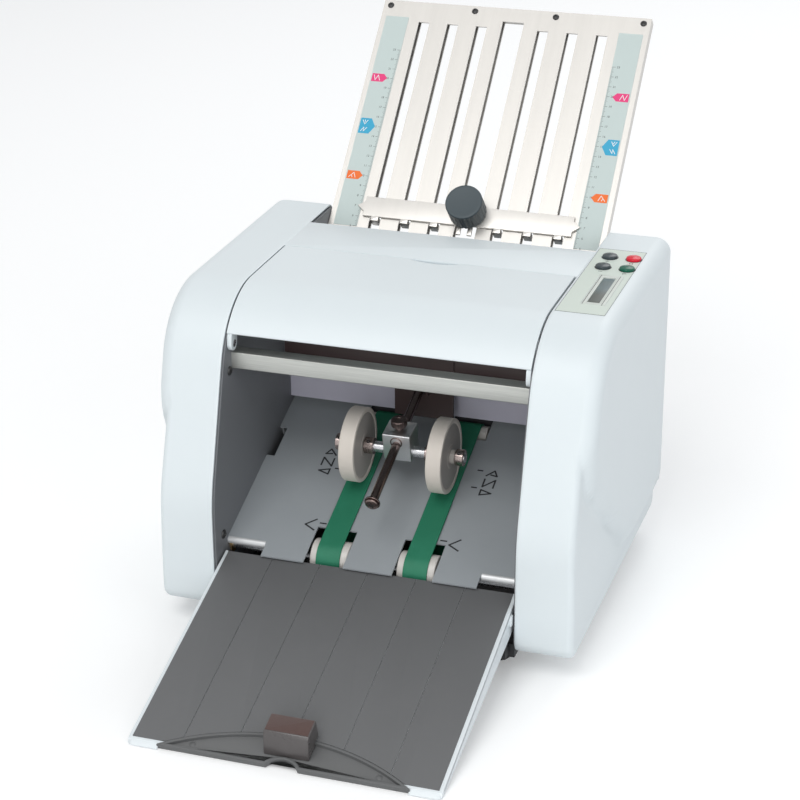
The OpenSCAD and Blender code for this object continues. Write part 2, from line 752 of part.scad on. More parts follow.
module tray_extension() color("#514b49") on_tray() {
    top = -extension_drop + extension_sheet;
    front = -tray_len - extension_reach;
    difference() {
        union() {
            block([-extension_half_w, extension_half_w], [3 - tray_len, extension_len - tray_len],
                [-extension_drop, top]);
            translate([0, 0, -extension_drop]) linear_extrude(extension_drop + arch_top) intersection() {
                arch(0, 0);
                translate([-arch_half_w, front]) square([2 * arch_half_w, 2 * arch_rise]);
            }
        }
        translate([0, front - 8, -10]) cylinder(r = notch_half_w + 2, h = 20);
        translate([0, 0, dish_floor]) linear_extrude(10) difference() {
            intersection() {
                arch(-dish_rim, 0);
                translate([-arch_half_w, front + dish_rim]) square([2 * arch_half_w, 2 * arch_rise]);
            }
            translate([0, front - 8]) circle(notch_half_w + 2 + dish_rim);
        }
        translate([0, -tray_len + 30, -extension_drop - 0.1]) block([-arch_half_w, -extension_half_w - 0.2],
            [-60, 60], [-1, 1.5]);
        block([extension_half_w + 0.2, arch_half_w + over], [-tray_len, 0], [-10, -tray_sheet]);
        block([-arch_half_w - over, -extension_half_w - 0.2], [-tray_len, 0], [-10, -tray_sheet]);
    }
}

module stop_block() color("#5a4a43") on_tray() along_x(-stop_half_w, stop_half_w) polygon([
    [stop_along, arch_top], [stop_along, stop_height], [stop_along - stop_depth, stop_height],
    [stop_along - stop_depth - 2, stop_height - 3], [stop_along - stop_depth - 7, dish_floor],
    [stop_along - 8, dish_floor], [stop_along - 8, arch_top]]);

module plate_slots(low, top) {
    for (i = [1:slot_count]) both_sides() {
        x = slot_first + (i - 1) * slot_pitch;
        block([x - slot_w / 2, x + slot_w / 2], [slot_bottom, slot_top], [low, top]);
    }
    block([-mid_slot_w / 2, mid_slot_w / 2], [slot_bottom, slot_top + 7], [low, top]);
}

module upper_plate_front_sheet() color("#efece6") on_plate() difference() {
    block([-plate_half_w, plate_half_w], [-plate_below, plate_above], [-plate_sheet, 0]);
    plate_slots(-plate_sheet - over, over);
    both_sides() for (x = plate_screw_x) translate([x, plate_screw_s, -plate_sheet - over])
        cylinder(r = 1.5, h = plate_sheet + 2 * over);
}

module upper_plate_back_sheet() color("#d8d5cf") on_plate() difference() {
    wall = 2.9;
    union() {
        block([-plate_half_w, plate_half_w], [-plate_below, plate_above],
            [-plate_thick, plate_sheet - plate_thick]);
        both_sides() block([plate_half_w - wall, plate_half_w], [-plate_below, plate_above],
            [-plate_thick, -plate_sheet]);
        block([-plate_half_w, plate_half_w], [plate_above - 9, plate_above], [-plate_thick, -plate_sheet]);
    }
    plate_slots(-plate_thick - over, plate_sheet - plate_thick + over);
    both_sides() for (x = plate_screw_x) translate([x, plate_screw_s, -plate_sheet - 4])
        cylinder(r = 1.5, h = 5);
}

module scale_labels() color("#c9d6d4") on_plate() both_sides()
    block(label_x, label_s, [0, label_sheet]);

module plate_screws() color("#3a3b3d") on_plate() both_sides() for (x = plate_screw_x)
    translate([x, plate_screw_s, 0]) {
        cylinder(r = 3, h = 1.6);
        translate([0, 0, -5]) cylinder(r = 1.5, h = 5.1);
    }

module upper_stop_bar() color("#e4e2dd") on_plate() {
    top = -stop_bar_drop;
    low = top - stop_bar_h;
    over_sheet = label_sheet + gap;
    face = over_sheet + stop_bar_sheet;
    block([-stop_bar_half_w, stop_bar_half_w], [low, top], [over_sheet, face]);
    both_sides() translate([0, 0, over_sheet]) linear_extrude(stop_bar_sheet) polygon([
        [stop_bar_half_w - over, top - 4], [stop_bar_half_w + 13, top - 10],
        [stop_bar_half_w - over, top - 16]]);
    both_sides() for (i = [1:slot_count]) {
        x = slot_first + (i - 1) * slot_pitch;
        block([x - 3.5, x + 3.5], [low - 4, low + over], [plate_sheet - plate_thick + gap, face]);
    }
    block([-mid_slot_w / 2 + gap, mid_slot_w / 2 - gap], [low + 3, top - 4], [-plate_sheet, over_sheet]);
    both_sides() block([3, 7], [low - 9, low + over], [over_sheet, face]);
    translate([0, top - 6, over_sheet]) cylinder(r = stud_r, h = knob_h - 2);
}

module upper_stop_knob() color("#3f4a50") on_plate()
    translate([0, -stop_bar_drop - 6, label_sheet + 2 * gap + stop_bar_sheet])
        knob(knob_r, knob_h, stud_r);

// Grooved clamping knob with a blind bore for its stud
module knob(r, h, bore) difference() {
    union() {
        cylinder(r = r, h = h - 2);
        translate([0, 0, h - 2]) cylinder(r1 = r, r2 = r - 1.5, h = 2);
    }
    translate([0, 0, -over]) cylinder(r = bore + fit, h = h - 2);
    for (a = [0:15:345]) rotate(a) translate([r + 0.6, 0, 2]) cylinder(r = 1.4, h = h, $fn = 16);
}

module lower_fold_plate() color("#b5b7b9") on_lower() {
    half = lower_thick / 2;
    difference() {
        for (h = [-half, half - plate_sheet])
            block([-frame_in, frame_in], [-lower_len, 0], [h, h + plate_sheet]);
        block([-6, 6], lower_slot_s, [-half - over, 0]);
    }
    both_sides() block([frame_in - 3, frame_in], [-lower_len, 0], [-half, half]);
}

module lower_stop_bar() color("#c9cbcd") on_lower() {
    inner = lower_thick / 2 - plate_sheet - gap;
    block([16 - frame_in, frame_in - 16], [lower_stop_s - 8, lower_stop_s], [-inner, inner]);
    translate([0, lower_stop_s - 4, -lower_thick / 2 - 10]) cylinder(r = stud_r, h = lower_thick / 2 + 10);
}

module lower_stop_knob() color("#3f4a50") on_lower()
    translate([0, lower_stop_s - 4, -lower_thick / 2 - gap]) rotate([180, 0, 0])
        knob(lower_knob_r, 14, stud_r);

// Toothed outline, with one tooth centred at the given phase
module gear_outline(phase) {
    pitch_r = fold_spacing / 2;
    root = [pitch_r - 1.25 * gear_module, 0.28 * gear_pitch];
    tip = [pitch_r + 0.85 * gear_module, 0.12 * gear_pitch];
    polygon([for (i = [0:gear_teeth - 1])
        for (p = [[root[0], -root[1]], [tip[0], -tip[1]], tip, root])
            polar(p[0], phase + i * gear_pitch + p[1])]);
}

module fold_roller(i) color("#3b3c3e") {
    rod(fold_r, -roller_half_w, roller_half_w, fold_axes[i]);
    rod(shaft_r, -left_end[i], gear_x + gear_w, fold_axes[i]);
    along_x(gear_x, gear_x + gear_w) translate(fold_axes[i]) gear_outline(gear_phase(i));
    if (i < 3) rod(left_pulley_r[i], -left_end[i], drive_w - left_end[i], fold_axes[i]);
}

module feed_roller() color("#4a4540") {
    rod(feed_roller_r, -feed_roller_half_w, feed_roller_half_w, feed_axis);
    rod(shaft_r, -left_end[1], opening_half_w + 1, feed_axis);
    rod(drive_r, -left_end[1], drive_w - left_end[1], feed_axis);
}

module separation_pad() color("#4b3f3a") on_feed() {
    block([-pad_half_w, pad_half_w], pad_s, [-8, -gap]);
    translate([0, feed_roller_along, -22]) cylinder(r = 4, h = 15);
}

module pressure_knob() color("#2c2e30") on_feed() translate([0, feed_roller_along, -24]) difference() {
    cylinder(r = pressure_knob_r, h = 12);
    translate([0, 0, 1.5]) cylinder(r = 4 + fit, h = 20);
    for (a = [0:30:330]) rotate(a) translate([pressure_knob_r + 0.5, 0, -over]) cylinder(r = 1.5, h = 20, $fn = 16);
}

module feed_table() color("#c4cad0") on_feed() {
    finish = table_start + table_len;
    difference() {
        union() {
            block([-table_half_w, table_half_w], [table_start, finish], [-table_sheet, 0]);
            block([-table_half_w, table_half_w], [finish - 2, finish], [-10, 0]);
            both_sides() block([table_half_w - 2, table_half_w], [table_start, finish], [-10, 0]);
            both_sides() block([table_half_w - 2, frame_in], [table_start, table_start + 3], [-14, 0]);
            both_sides() block([frame_in - 2, frame_in], [table_start - 20, table_start + 3], [-14, 0]);
        }
        both_sides() block([guide_x - guide_travel - guide_tab[0] - 2, guide_x + 2],
            [guide_slot_s - guide_tab[1] / 2 - gap, guide_slot_s + guide_tab[1] / 2 + gap],
            [-table_sheet - over, over]);
    }
}

module side_guide() on_feed() {
    inner = guide_x - guide_tab[0];
    tab_s = [guide_slot_s - guide_tab[1] / 2, guide_slot_s + guide_tab[1] / 2];
    block([guide_x, guide_x + guide_w], guide_s, [gap, guide_h]);
    block([inner, guide_x + over], guide_s, [gap, gap + 1.2]);
    block([inner, guide_x], tab_s, [-table_sheet - gap - 1.5, gap + over]);
    block([inner - 3, guide_x], [tab_s[0] - 3, tab_s[1] + 3], [-table_sheet - gap - 1.5, -table_sheet - gap]);
}

module left_side_guide() color("#2f3133") mirror([1, 0, 0]) side_guide();
module right_side_guide() color("#2f3133") side_guide();

module drive_motor() color("#76797c") {
    difference() {
        union() {
            rod(motor_r, motor_x[0], motor_x[1], motor_axis);
            rod(motor_r - 6, motor_x[1], motor_x[1] + 14, motor_axis);
            block([motor_x[0] + 6, motor_x[1] - 6], [motor_axis[0] - 18, motor_axis[0] + 18],
                [pan_bottom + 2, motor_axis[1]]);
        }
        rod(motor_shaft_r + fit, motor_x[0] - over, motor_x[0] + 12, motor_axis);
    }
}

module motor_pulley() color("#c9c9c6") {
    rod(motor_pulley_r, -belt_plane[0] - drive_w, -belt_plane[0], motor_axis);
    rod(motor_pulley_r + 2, -belt_plane[0], -belt_plane[0] + 1, motor_axis);
    rod(motor_shaft_r, -belt_plane[0], motor_x[0] + 12, motor_axis);
}

module drive_belts() color("#26282a") {
    w = drive_w - 1;
    x1 = -belt_plane[0] - drive_w + 0.5;
    x2 = -belt_plane[1] - drive_w + 0.5;
    band(x1, w, motor_axis, motor_pulley_r, first_roller, first_drive_r, drive_sheet);
    band(x1, w, third_roller, drive_r, rear_shaft, drive_r, drive_sheet);
    band(x2, w, second_roller, drive_r, feed_axis, drive_r, drive_sheet);
}

button_places = [for (j = [0, 1]) for (i = [0, 1])
    [button_x + i * button_pitch_x, button_y + j * button_pitch_y]];

module control_overlay() color("#dfe6dc") translate([0, 0, body_top - overlay_sink])
    linear_extrude(overlay_sheet) difference() {
        translate([overlay_x[0] + gap, overlay_y[0] + gap])
            square([overlay_x[1] - overlay_x[0] - 2 * gap, overlay_y[1] - overlay_y[0] - 2 * gap]);
        for (p = button_places) translate(p) circle(button_r + gap);
        translate([display_x - display_w / 2 - gap, display_y - display_len / 2 - gap])
            square([display_w + 2 * gap, display_len + 2 * gap]);
    }

module display_module() color("#3a4146") difference() {
    half_w = display_w / 2;
    half_l = display_len / 2;
    top = body_top + 0.4;
    block([display_x - half_w, display_x + half_w], [display_y - half_l, display_y + half_l],
        [board_top + board_sheet, top]);
    block([display_x - half_w + 4, display_x + half_w - 5.5], [display_y - half_l + 4, display_y + half_l - 4],
        [top - 1.2, top + over]);
}

module circuit_board() color("#2f6b46") {
    block(board_x, board_y, [board_top, board_top + board_sheet]);
    for (x = [board_x[0] + 3.5, board_x[1] - 3.5]) for (y = [board_y[0] + 5, board_y[1] - 5])
        translate([x, y, board_top]) cylinder(r = 2.5, h = frame_top - board_top);
}

module button(i) {
    p = button_places[i];
    stem_low = board_top + board_sheet + button_travel + 0.4;
    flange = frame_top - 0.5;
    translate([p[0], p[1], 0]) {
        translate([0, 0, stem_low]) cylinder(r = 3, h = flange - stem_low);
        translate([0, 0, flange - 1.5]) cylinder(r = button_r + 1.2, h = 1.5);
        translate([0, 0, flange]) cylinder(r = button_r, h = body_top + 2.4 - flange);
        translate([0, 0, body_top + 2.4]) cylinder(r1 = button_r, r2 = button_r - 1, h = 0.8);
    }
}

module grey_button_front() color("#4a5358") button(0);
module green_button() color("#0f6b50") button(1);
module grey_button_rear() color("#4a5358") button(2);
module red_button() color("#e0384a") button(3);

module power_module() color("#202224") {
    rim = 2;
    face = body_rear + 1.5;
    difference() {
        union() {
            block([inlet_x[0] + 0.2, inlet_x[1] - 0.2], [body_rear - 28, face], [inlet_z[0] + 0.2, inlet_z[1] - 0.2]);
            block([inlet_x[0] - rim, inlet_x[1] + rim], [body_rear, face], [inlet_z[0] - rim, inlet_z[1] + rim]);
        }
        block([inlet_x[0] + 3, inlet_x[1] - 3], [body_rear - 18, face + over], [inlet_z[0] + 4, inlet_z[1] - 4]);
    }
    for (i = [-1:1]) let (x = (inlet_x[0] + inlet_x[1]) / 2 + 7 * i) block([x - 1, x + 1], [body_rear - 19, body_rear - 6], [68, 74]);
    difference() {
        union() {
            block([inlet_x[0] + 0.2, inlet_x[1] - 0.2], [body_rear - 20, face], [switch_z[0] + 0.2, switch_z[1] - 0.2]);
            block([inlet_x[0] - rim, inlet_x[1] + rim], [body_rear, face], [switch_z[0] - rim, switch_z[1] + rim]);
        }
        block([inlet_x[0] + 3, inlet_x[1] - 3], [body_rear - 12, face + over], [switch_z[0] + 3, switch_z[1] - 3]);
    }
    rod(1.5, inlet_x[0] + 3, inlet_x[1] - 3, rocker_axis);
}

module power_switch() color("#b3262d") place(rocker_axis, rocker_tilt) difference() {
    along_x(inlet_x[0] + 3.4, inlet_x[1] - 3.4)
        polygon([[-4, -4], [-4, 4], [5.5, 8.5], [4.2, 0], [5.5, -8.5]]);
    rod(1.5 + fit, inlet_x[0], inlet_x[1]);
}

base_pan();
rubber_feet();
left_side_frame();
right_side_frame();
tie_bars();
frame_screws();
frame_bushings();
left_side_cover();
right_side_cover();
rear_top_strip();
top_lid();
hinge_pins();
inner_back_plate();
delivery_plate();
front_delivery_shaft();
front_pulleys();
rear_delivery_rollers();
delivery_belts();
wheel_bracket();
guide_rod();
wheel_block();
thumb_screw();
wheel_axle();
stacker_wheel(-wheel_x);  // left_wheel
stacker_wheel(wheel_x);  // right_wheel
tray_shell();
tray_mat();
tray_extension();
stop_block();
upper_plate_front_sheet();
upper_plate_back_sheet();
scale_labels();
plate_screws();
upper_stop_bar();
upper_stop_knob();
lower_fold_plate();
lower_stop_bar();
lower_stop_knob();
fold_roller(0);  // fold_roller_1
fold_roller(1);  // fold_roller_2
fold_roller(2);  // fold_roller_3
fold_roller(3);  // fold_roller_4
feed_roller();
separation_pad();
pressure_knob();
feed_table();
left_side_guide();
right_side_guide();
drive_motor();
motor_pulley();
drive_belts();
control_overlay();
display_module();
circuit_board();
grey_button_rear();
grey_button_front();
red_button();
green_button();
power_module();
power_switch();
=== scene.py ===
import math
import bpy
import numpy as np
from mathutils import Matrix


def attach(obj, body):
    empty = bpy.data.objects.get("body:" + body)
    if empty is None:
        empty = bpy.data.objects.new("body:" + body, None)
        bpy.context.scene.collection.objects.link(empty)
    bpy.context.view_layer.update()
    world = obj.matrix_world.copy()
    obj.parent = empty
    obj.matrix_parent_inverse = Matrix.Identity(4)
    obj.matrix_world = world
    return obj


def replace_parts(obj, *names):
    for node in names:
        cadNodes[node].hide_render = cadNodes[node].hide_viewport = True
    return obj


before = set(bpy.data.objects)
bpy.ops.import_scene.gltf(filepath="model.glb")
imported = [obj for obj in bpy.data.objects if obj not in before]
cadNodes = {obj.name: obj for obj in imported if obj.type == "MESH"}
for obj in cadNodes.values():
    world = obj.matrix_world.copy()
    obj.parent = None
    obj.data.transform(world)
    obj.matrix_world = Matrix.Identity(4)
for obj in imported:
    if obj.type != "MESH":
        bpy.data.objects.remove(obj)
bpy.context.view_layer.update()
mm = 0.001

bpy.context.scene.view_settings.view_transform = "Standard"


cameraView = {"yaw": 18.3402, "pitch": 23.5552, "roll": -0.30, "lens": 100.01,
              "place": (524.5, -1630.7, 908.2)}


# Camera turned by yaw, pitch and roll in degrees, at a place in millimetres
def makeCamera(view):
    yaw, pitch, roll = (math.radians(view[k]) for k in ("yaw", "pitch", "roll"))
    ahead = np.array([-math.sin(yaw) * math.cos(pitch), math.cos(yaw) * math.cos(pitch), -math.sin(pitch)])
    level = np.array([math.cos(yaw), math.sin(yaw), 0.0])
    upright = np.cross(level, ahead)
    right = math.cos(roll) * level + math.sin(roll) * upright
    up = -math.sin(roll) * level + math.cos(roll) * upright
    data = bpy.data.cameras.new("camera")
    data.lens = view["lens"]
    data.sensor_width = 36
    data.clip_end = 50
    camera = bpy.data.objects.new("camera", data)
    turn = Matrix([list(row) for row in np.array([right, up, -ahead]).T]).to_4x4()
    camera.matrix_world = Matrix.Translation([v * mm for v in view["place"]]) @ turn
    bpy.context.scene.collection.objects.link(camera)
    bpy.context.scene.camera = camera


stageLook = {"floorColour": (0.88, 0.885, 0.89, 1), "floorLift": 0.22, "floorHalf": 6.0,
             "paleColour": (1, 1, 1, 1), "worldColour": (0.96, 0.98, 1.0), "worldStrength": 0.5,
             "lamps": {  # place and aim in metres, size in metres, power in watts, colour
                 "keyLamp": ((-0.35, -1.9, 2.7), (0, 0, 0.1), 1.6, 32, (1, 0.99, 0.97)),
                 "frontLamp": ((0.3, -2.6, 0.75), (0, 0, 0.12), 1.3, 14, (1, 0.995, 0.98)),
                 "fillLamp": ((2.2, -1.3, 1.4), (0, 0, 0.1), 1.8, 11, (0.96, 0.98, 1)),
                 "backLamp": ((0.4, 2.2, 2.2), (0, 0, 0.2), 1.6, 20, (1, 1, 1))}}


# One where the ray comes from the camera, a mirror or glass, so that they show the pale background
def seenDirectly(tree):
    path = tree.nodes.new("ShaderNodeLightPath")
    total = path.outputs["Is Camera Ray"]
    for name in ("Is Glossy Ray", "Is Transmission Ray"):
        added = tree.nodes.new("ShaderNodeMath")
        added.operation = "ADD"
        added.use_clamp = True
        tree.links.new(total, added.inputs[0])
        tree.links.new(path.outputs[name], added.inputs[1])
        total = added.outputs[0]
    return total


# World: an even dim light on the object, and a pale background where it is seen directly
def makeWorld(look):
    world = bpy.data.worlds.new("studio")
    bpy.context.scene.world = world
    world.use_nodes = True
    tree = world.node_tree
    tree.nodes.clear()
    out = tree.nodes.new("ShaderNodeOutputWorld")
    dim = tree.nodes.new("ShaderNodeBackground")
    dim.inputs[0].default_value = (*look["worldColour"], 1)
    dim.inputs[1].default_value = look["worldStrength"]
    pale = tree.nodes.new("ShaderNodeBackground")
    pale.inputs[0].default_value = look["paleColour"]
    mix = tree.nodes.new("ShaderNodeMixShader")
    tree.links.new(seenDirectly(tree), mix.inputs[0])
    tree.links.new(dim.outputs[0], mix.inputs[1])
    tree.links.new(pale.outputs[0], mix.inputs[2])
    tree.links.new(mix.outputs[0], out.inputs[0])


# Square area lamp at a place, turned so that it shines at its aim
def makeLamp(name, place, aim, size, power, colour):
    data = bpy.data.lights.new(name, "AREA")
    data.energy = power
    data.size = size
    data.color = colour
    lamp = bpy.data.objects.new(name, data)
    ahead = np.array(aim) - np.array(place)
    ahead = ahead / np.linalg.norm(ahead)
    side = np.cross(ahead, (0, 0, 1))
    side = side / np.linalg.norm(side)
    turn = Matrix([list(row) for row in np.array([side, np.cross(side, ahead), -ahead]).T]).to_4x4()
    lamp.matrix_world = Matrix.Translation(place) @ turn
    bpy.context.scene.collection.objects.link(lamp)


# Pale floor that glows a little where it is seen directly, and keeps the object's shadow
def makeFloor(look):
    half = look["floorHalf"]
    mesh = bpy.data.meshes.new("floor")
    mesh.from_pydata([(-half, -half, 0), (half, -half, 0), (half, half, 0), (-half, half, 0)], [],
                     [(0, 1, 2, 3)])
    floor = bpy.data.objects.new("floor", mesh)
    bpy.context.scene.collection.objects.link(floor)
    material = bpy.data.materials.new("paleFloor")
    material.use_nodes = True
    shader = material.node_tree.nodes["Principled BSDF"]
    shader.inputs["Base Color"].default_value = look["floorColour"]
    shader.inputs["Roughness"].default_value = 0.9
    shader.inputs["Emission Color"].default_value = look["paleColour"]
    lift = material.node_tree.nodes.new("ShaderNodeMath")
    lift.operation = "MULTIPLY"
    lift.inputs[1].default_value = look["floorLift"]
    material.node_tree.links.new(seenDirectly(material.node_tree), lift.inputs[0])
    material.node_tree.links.new(lift.outputs[0], shader.inputs["Emission Strength"])
    mesh.materials.append(material)


# World, lamps and floor of the studio
def makeStage(look):
    makeWorld(look)
    for name, lamp in look["lamps"].items():
        makeLamp(name, *lamp)
    makeFloor(look)


makeCamera(cameraView)
makeStage(stageLook)
print("stage ready")


# Empty node group; inputs are (name, kind, default), outputs are (name, kind)
def newGroup(name, inputs, outputs):
    group = bpy.data.node_groups.new(name, "ShaderNodeTree")
    for label, kind, value in inputs:
        socket = group.interface.new_socket(label, in_out="INPUT", socket_type=kind)
        if value is not None:
            socket.default_value = value
    for label, kind in outputs:
        group.interface.new_socket(label, in_out="OUTPUT", socket_type=kind)
    return group, group.nodes.new("NodeGroupInput"), group.nodes.new("NodeGroupOutput")


# Adds a node; a socket value may be a number, a colour or another node's output
def node(tree, kind, settings=None, **sockets):
    made = tree.nodes.new(kind)
    for key, value in (settings or {}).items():
        setattr(made, key, value)
    for key, value in sockets.items():
        at = int(key[1:]) if key[0] == "i" and key[1:].isdigit() else key.replace("_", " ")
        if isinstance(value, bpy.types.NodeSocket):
            tree.links.new(value, made.inputs[at])
        else:
            made.inputs[at].default_value = value
    return made


# Mixes two colours by a share
def mixColour(tree, share, first, second, mode="MIX"):
    made = tree.nodes.new("ShaderNodeMix")
    made.data_type = "RGBA"
    made.blend_type = mode
    for at, value in ((0, share), (6, first), (7, second)):
        if isinstance(value, bpy.types.NodeSocket):
            tree.links.new(value, made.inputs[at])
        else:
            made.inputs[at].default_value = value
    return made.outputs[2]


# One step of arithmetic on one to three values
def maths(tree, operation, first, second=0.0, third=0.0, clamp=False):
    made = node(tree, "ShaderNodeMath", {"operation": operation, "use_clamp": clamp}, i0=first, i1=second,
                i2=third)
    return made.outputs[0]


# Carries a value from one range to another in proportion
def remap(tree, value, low, high, newLow, newHigh):
    return node(tree, "ShaderNodeMapRange", None, Value=value, From_Min=low, From_Max=high,
                To_Min=newLow, To_Max=newHigh).outputs[0]


# Moulded or painted surface: a slow tone drift, fine pits for the bump and a patchy roughness
def makeGrainGroup():
    group, start, finish = newGroup("surfaceGrain", [
        ("Vector", "NodeSocketVector", None), ("Colour", "NodeSocketColor", (0.8, 0.8, 0.8, 1)),
        ("Drift", "NodeSocketFloat", 0.04), ("Roughness", "NodeSocketFloat", 0.5),
        ("Patchiness", "NodeSocketFloat", 0.06), ("Grain Scale", "NodeSocketFloat", 1800.0)],
        [("Colour", "NodeSocketColor"), ("Roughness", "NodeSocketFloat"), ("Height", "NodeSocketFloat")])
    slow = node(group, "ShaderNodeTexNoise", None, Vector=start.outputs["Vector"], Scale=7.0, Detail=3.0)
    mid = node(group, "ShaderNodeTexNoise", None, Vector=start.outputs["Vector"], Scale=60.0, Detail=4.0)
    fine = node(group, "ShaderNodeTexNoise", None, Vector=start.outputs["Vector"],
                Scale=start.outputs["Grain Scale"], Detail=2.0)
    lift = maths(group, "MULTIPLY_ADD", maths(group, "SUBTRACT", slow.outputs["Fac"], 0.5),
                 start.outputs["Drift"], 1.0)
    lift = maths(group, "MULTIPLY_ADD", maths(group, "SUBTRACT", mid.outputs["Fac"], 0.5),
                 maths(group, "MULTIPLY", start.outputs["Drift"], 0.5), lift)
    tone = node(group, "ShaderNodeVectorMath", {"operation": "SCALE"})
    group.links.new(start.outputs["Colour"], tone.inputs[0])
    group.links.new(lift, tone.inputs["Scale"])
    rough = maths(group, "MULTIPLY_ADD", maths(group, "SUBTRACT", mid.outputs["Fac"], 0.5),
                  start.outputs["Patchiness"], start.outputs["Roughness"])
    group.links.new(tone.outputs[0], finish.inputs["Colour"])
    group.links.new(rough, finish.inputs["Roughness"])
    group.links.new(fine.outputs["Fac"], finish.inputs["Height"])
    return group


# Brushed metal: noise drawn out along one direction drives tone, roughness and bump
def makeBrushedGroup():
    group, start, finish = newGroup("brushedGrain", [
        ("Vector", "NodeSocketVector", None), ("Colour", "NodeSocketColor", (0.7, 0.7, 0.7, 1)),
        ("Streak", "NodeSocketFloat", 0.12), ("Roughness", "NodeSocketFloat", 0.35),
        ("Patchiness", "NodeSocketFloat", 0.2)],
        [("Colour", "NodeSocketColor"), ("Roughness", "NodeSocketFloat"), ("Height", "NodeSocketFloat")])
    fine = node(group, "ShaderNodeTexNoise", None, Vector=start.outputs["Vector"], Scale=1.0, Detail=5.0,
                Roughness=0.65)
    cloud = node(group, "ShaderNodeTexNoise", None, Vector=start.outputs["Vector"], Scale=0.05, Detail=2.0)
    lift = maths(group, "MULTIPLY_ADD", maths(group, "SUBTRACT", fine.outputs["Fac"], 0.5),
                 start.outputs["Streak"], 1.0)
    lift = maths(group, "MULTIPLY_ADD", maths(group, "SUBTRACT", cloud.outputs["Fac"], 0.5),
                 start.outputs["Streak"], lift)
    tone = node(group, "ShaderNodeVectorMath", {"operation": "SCALE"})
    group.links.new(start.outputs["Colour"], tone.inputs[0])
    group.links.new(lift, tone.inputs["Scale"])
    rough = maths(group, "MULTIPLY_ADD", maths(group, "SUBTRACT", fine.outputs["Fac"], 0.5),
                  start.outputs["Patchiness"], start.outputs["Roughness"])
    group.links.new(tone.outputs[0], finish.inputs["Colour"])
    group.links.new(rough, finish.inputs["Roughness"])
    group.links.new(fine.outputs["Fac"], finish.inputs["Height"])
    return group


# Dust and handling marks: soft blotches that mix a second tint into the colour
def makeHandlingGroup():
    group, start, finish = newGroup("handlingMarks", [
        ("Vector", "NodeSocketVector", None), ("Colour", "NodeSocketColor", (0.8, 0.8, 0.8, 1)),
        ("Tint", "NodeSocketColor", (0.5, 0.5, 0.5, 1)), ("Amount", "NodeSocketFloat", 0.1)],
        [("Colour", "NodeSocketColor"), ("Mask", "NodeSocketFloat")])
    blotch = node(group, "ShaderNodeTexNoise", None, Vector=start.outputs["Vector"], Scale=22.0, Detail=6.0,
                  Roughness=0.7)
    mask = remap(group, blotch.outputs["Fac"], 0.48, 0.75, 0.0, 1.0)
    mask = maths(group, "MULTIPLY", mask, start.outputs["Amount"], clamp=True)
    group.links.new(mixColour(group, mask, start.outputs["Colour"], start.outputs["Tint"]),
                    finish.inputs["Colour"])
    group.links.new(mask, finish.inputs["Mask"])
    return group


grainGroup = makeGrainGroup()
brushedGroup = makeBrushedGroup()
handlingGroup = makeHandlingGroup()
print("shader groups ready")


# Material with the object's own coordinates ready for its texture
def emptyMaterial(name):
    material = bpy.data.materials.new(name)
    material.use_nodes = True
    tree = material.node_tree
    shader = tree.nodes["Principled BSDF"]
    coordinates = node(tree, "ShaderNodeTexCoord")
    return material, tree, shader, coordinates.outputs["Object"]


# Adds a shader group; underscores in a socket's name stand for spaces
def useGroup(tree, group, **sockets):
    made = tree.nodes.new("ShaderNodeGroup")
    made.node_tree = group
    for key, value in sockets.items():
        at = key.replace("_", " ")
        if isinstance(value, bpy.types.NodeSocket):
            tree.links.new(value, made.inputs[at])
        else:
            made.inputs[at].default_value = value
    return made


# Bump from a height, as deep as the distance in metres times its strength
def finishBump(tree, shader, height, depth, distance):
    bump = node(tree, "ShaderNodeBump", None, Height=height, Strength=depth, Distance=distance)
    tree.links.new(bump.outputs[0], shader.inputs["Normal"])


# Moulded, painted or rubber surface from the grain group, with handling marks where a tint is given
def grainMaterial(name, colour, roughness=0.45, drift=0.04, patchiness=0.08, scale=1800.0, depth=0.12,
                  metallic=0.0, specular=0.5, tint=None, marks=0.0, coat=0.0, sheen=0.0):
    material, tree, shader, at = emptyMaterial(name)
    grain = useGroup(tree, grainGroup, Vector=at, Colour=(*colour, 1), Drift=drift, Roughness=roughness,
                     Patchiness=patchiness, Grain_Scale=scale)
    colourOut = grain.outputs["Colour"]
    if tint is not None:
        handled = useGroup(tree, handlingGroup, Vector=at, Colour=colourOut, Tint=(*tint, 1), Amount=marks)
        colourOut = handled.outputs["Colour"]
    tree.links.new(colourOut, shader.inputs["Base Color"])
    tree.links.new(grain.outputs["Roughness"], shader.inputs["Roughness"])
    shader.inputs["Metallic"].default_value = metallic
    shader.inputs["Specular IOR Level"].default_value = specular
    shader.inputs["Coat Weight"].default_value = coat
    shader.inputs["Coat Roughness"].default_value = 0.15
    shader.inputs["Sheen Weight"].default_value = sheen
    finishBump(tree, shader, grain.outputs["Height"], depth, 0.0002)
    return material


# stretch gives the noise's frequency per metre along X, Y and Z, after the turn
def brushedMaterial(name, colour, stretch, roughness=0.35, streak=0.12, patchiness=0.2, depth=0.1,
                    turn=(0, 0, 0), metallic=1.0):
    material, tree, shader, at = emptyMaterial(name)
    mapping = node(tree, "ShaderNodeMapping", None, Vector=at, Rotation=[math.radians(v) for v in turn],
                   Scale=stretch)
    brushed = useGroup(tree, brushedGroup, Vector=mapping.outputs[0], Colour=(*colour, 1), Streak=streak,
                       Roughness=roughness, Patchiness=patchiness)
    tree.links.new(brushed.outputs["Colour"], shader.inputs["Base Color"])
    tree.links.new(brushed.outputs["Roughness"], shader.inputs["Roughness"])
    shader.inputs["Metallic"].default_value = metallic
    finishBump(tree, shader, brushed.outputs["Height"], depth, 0.0001)
    return material


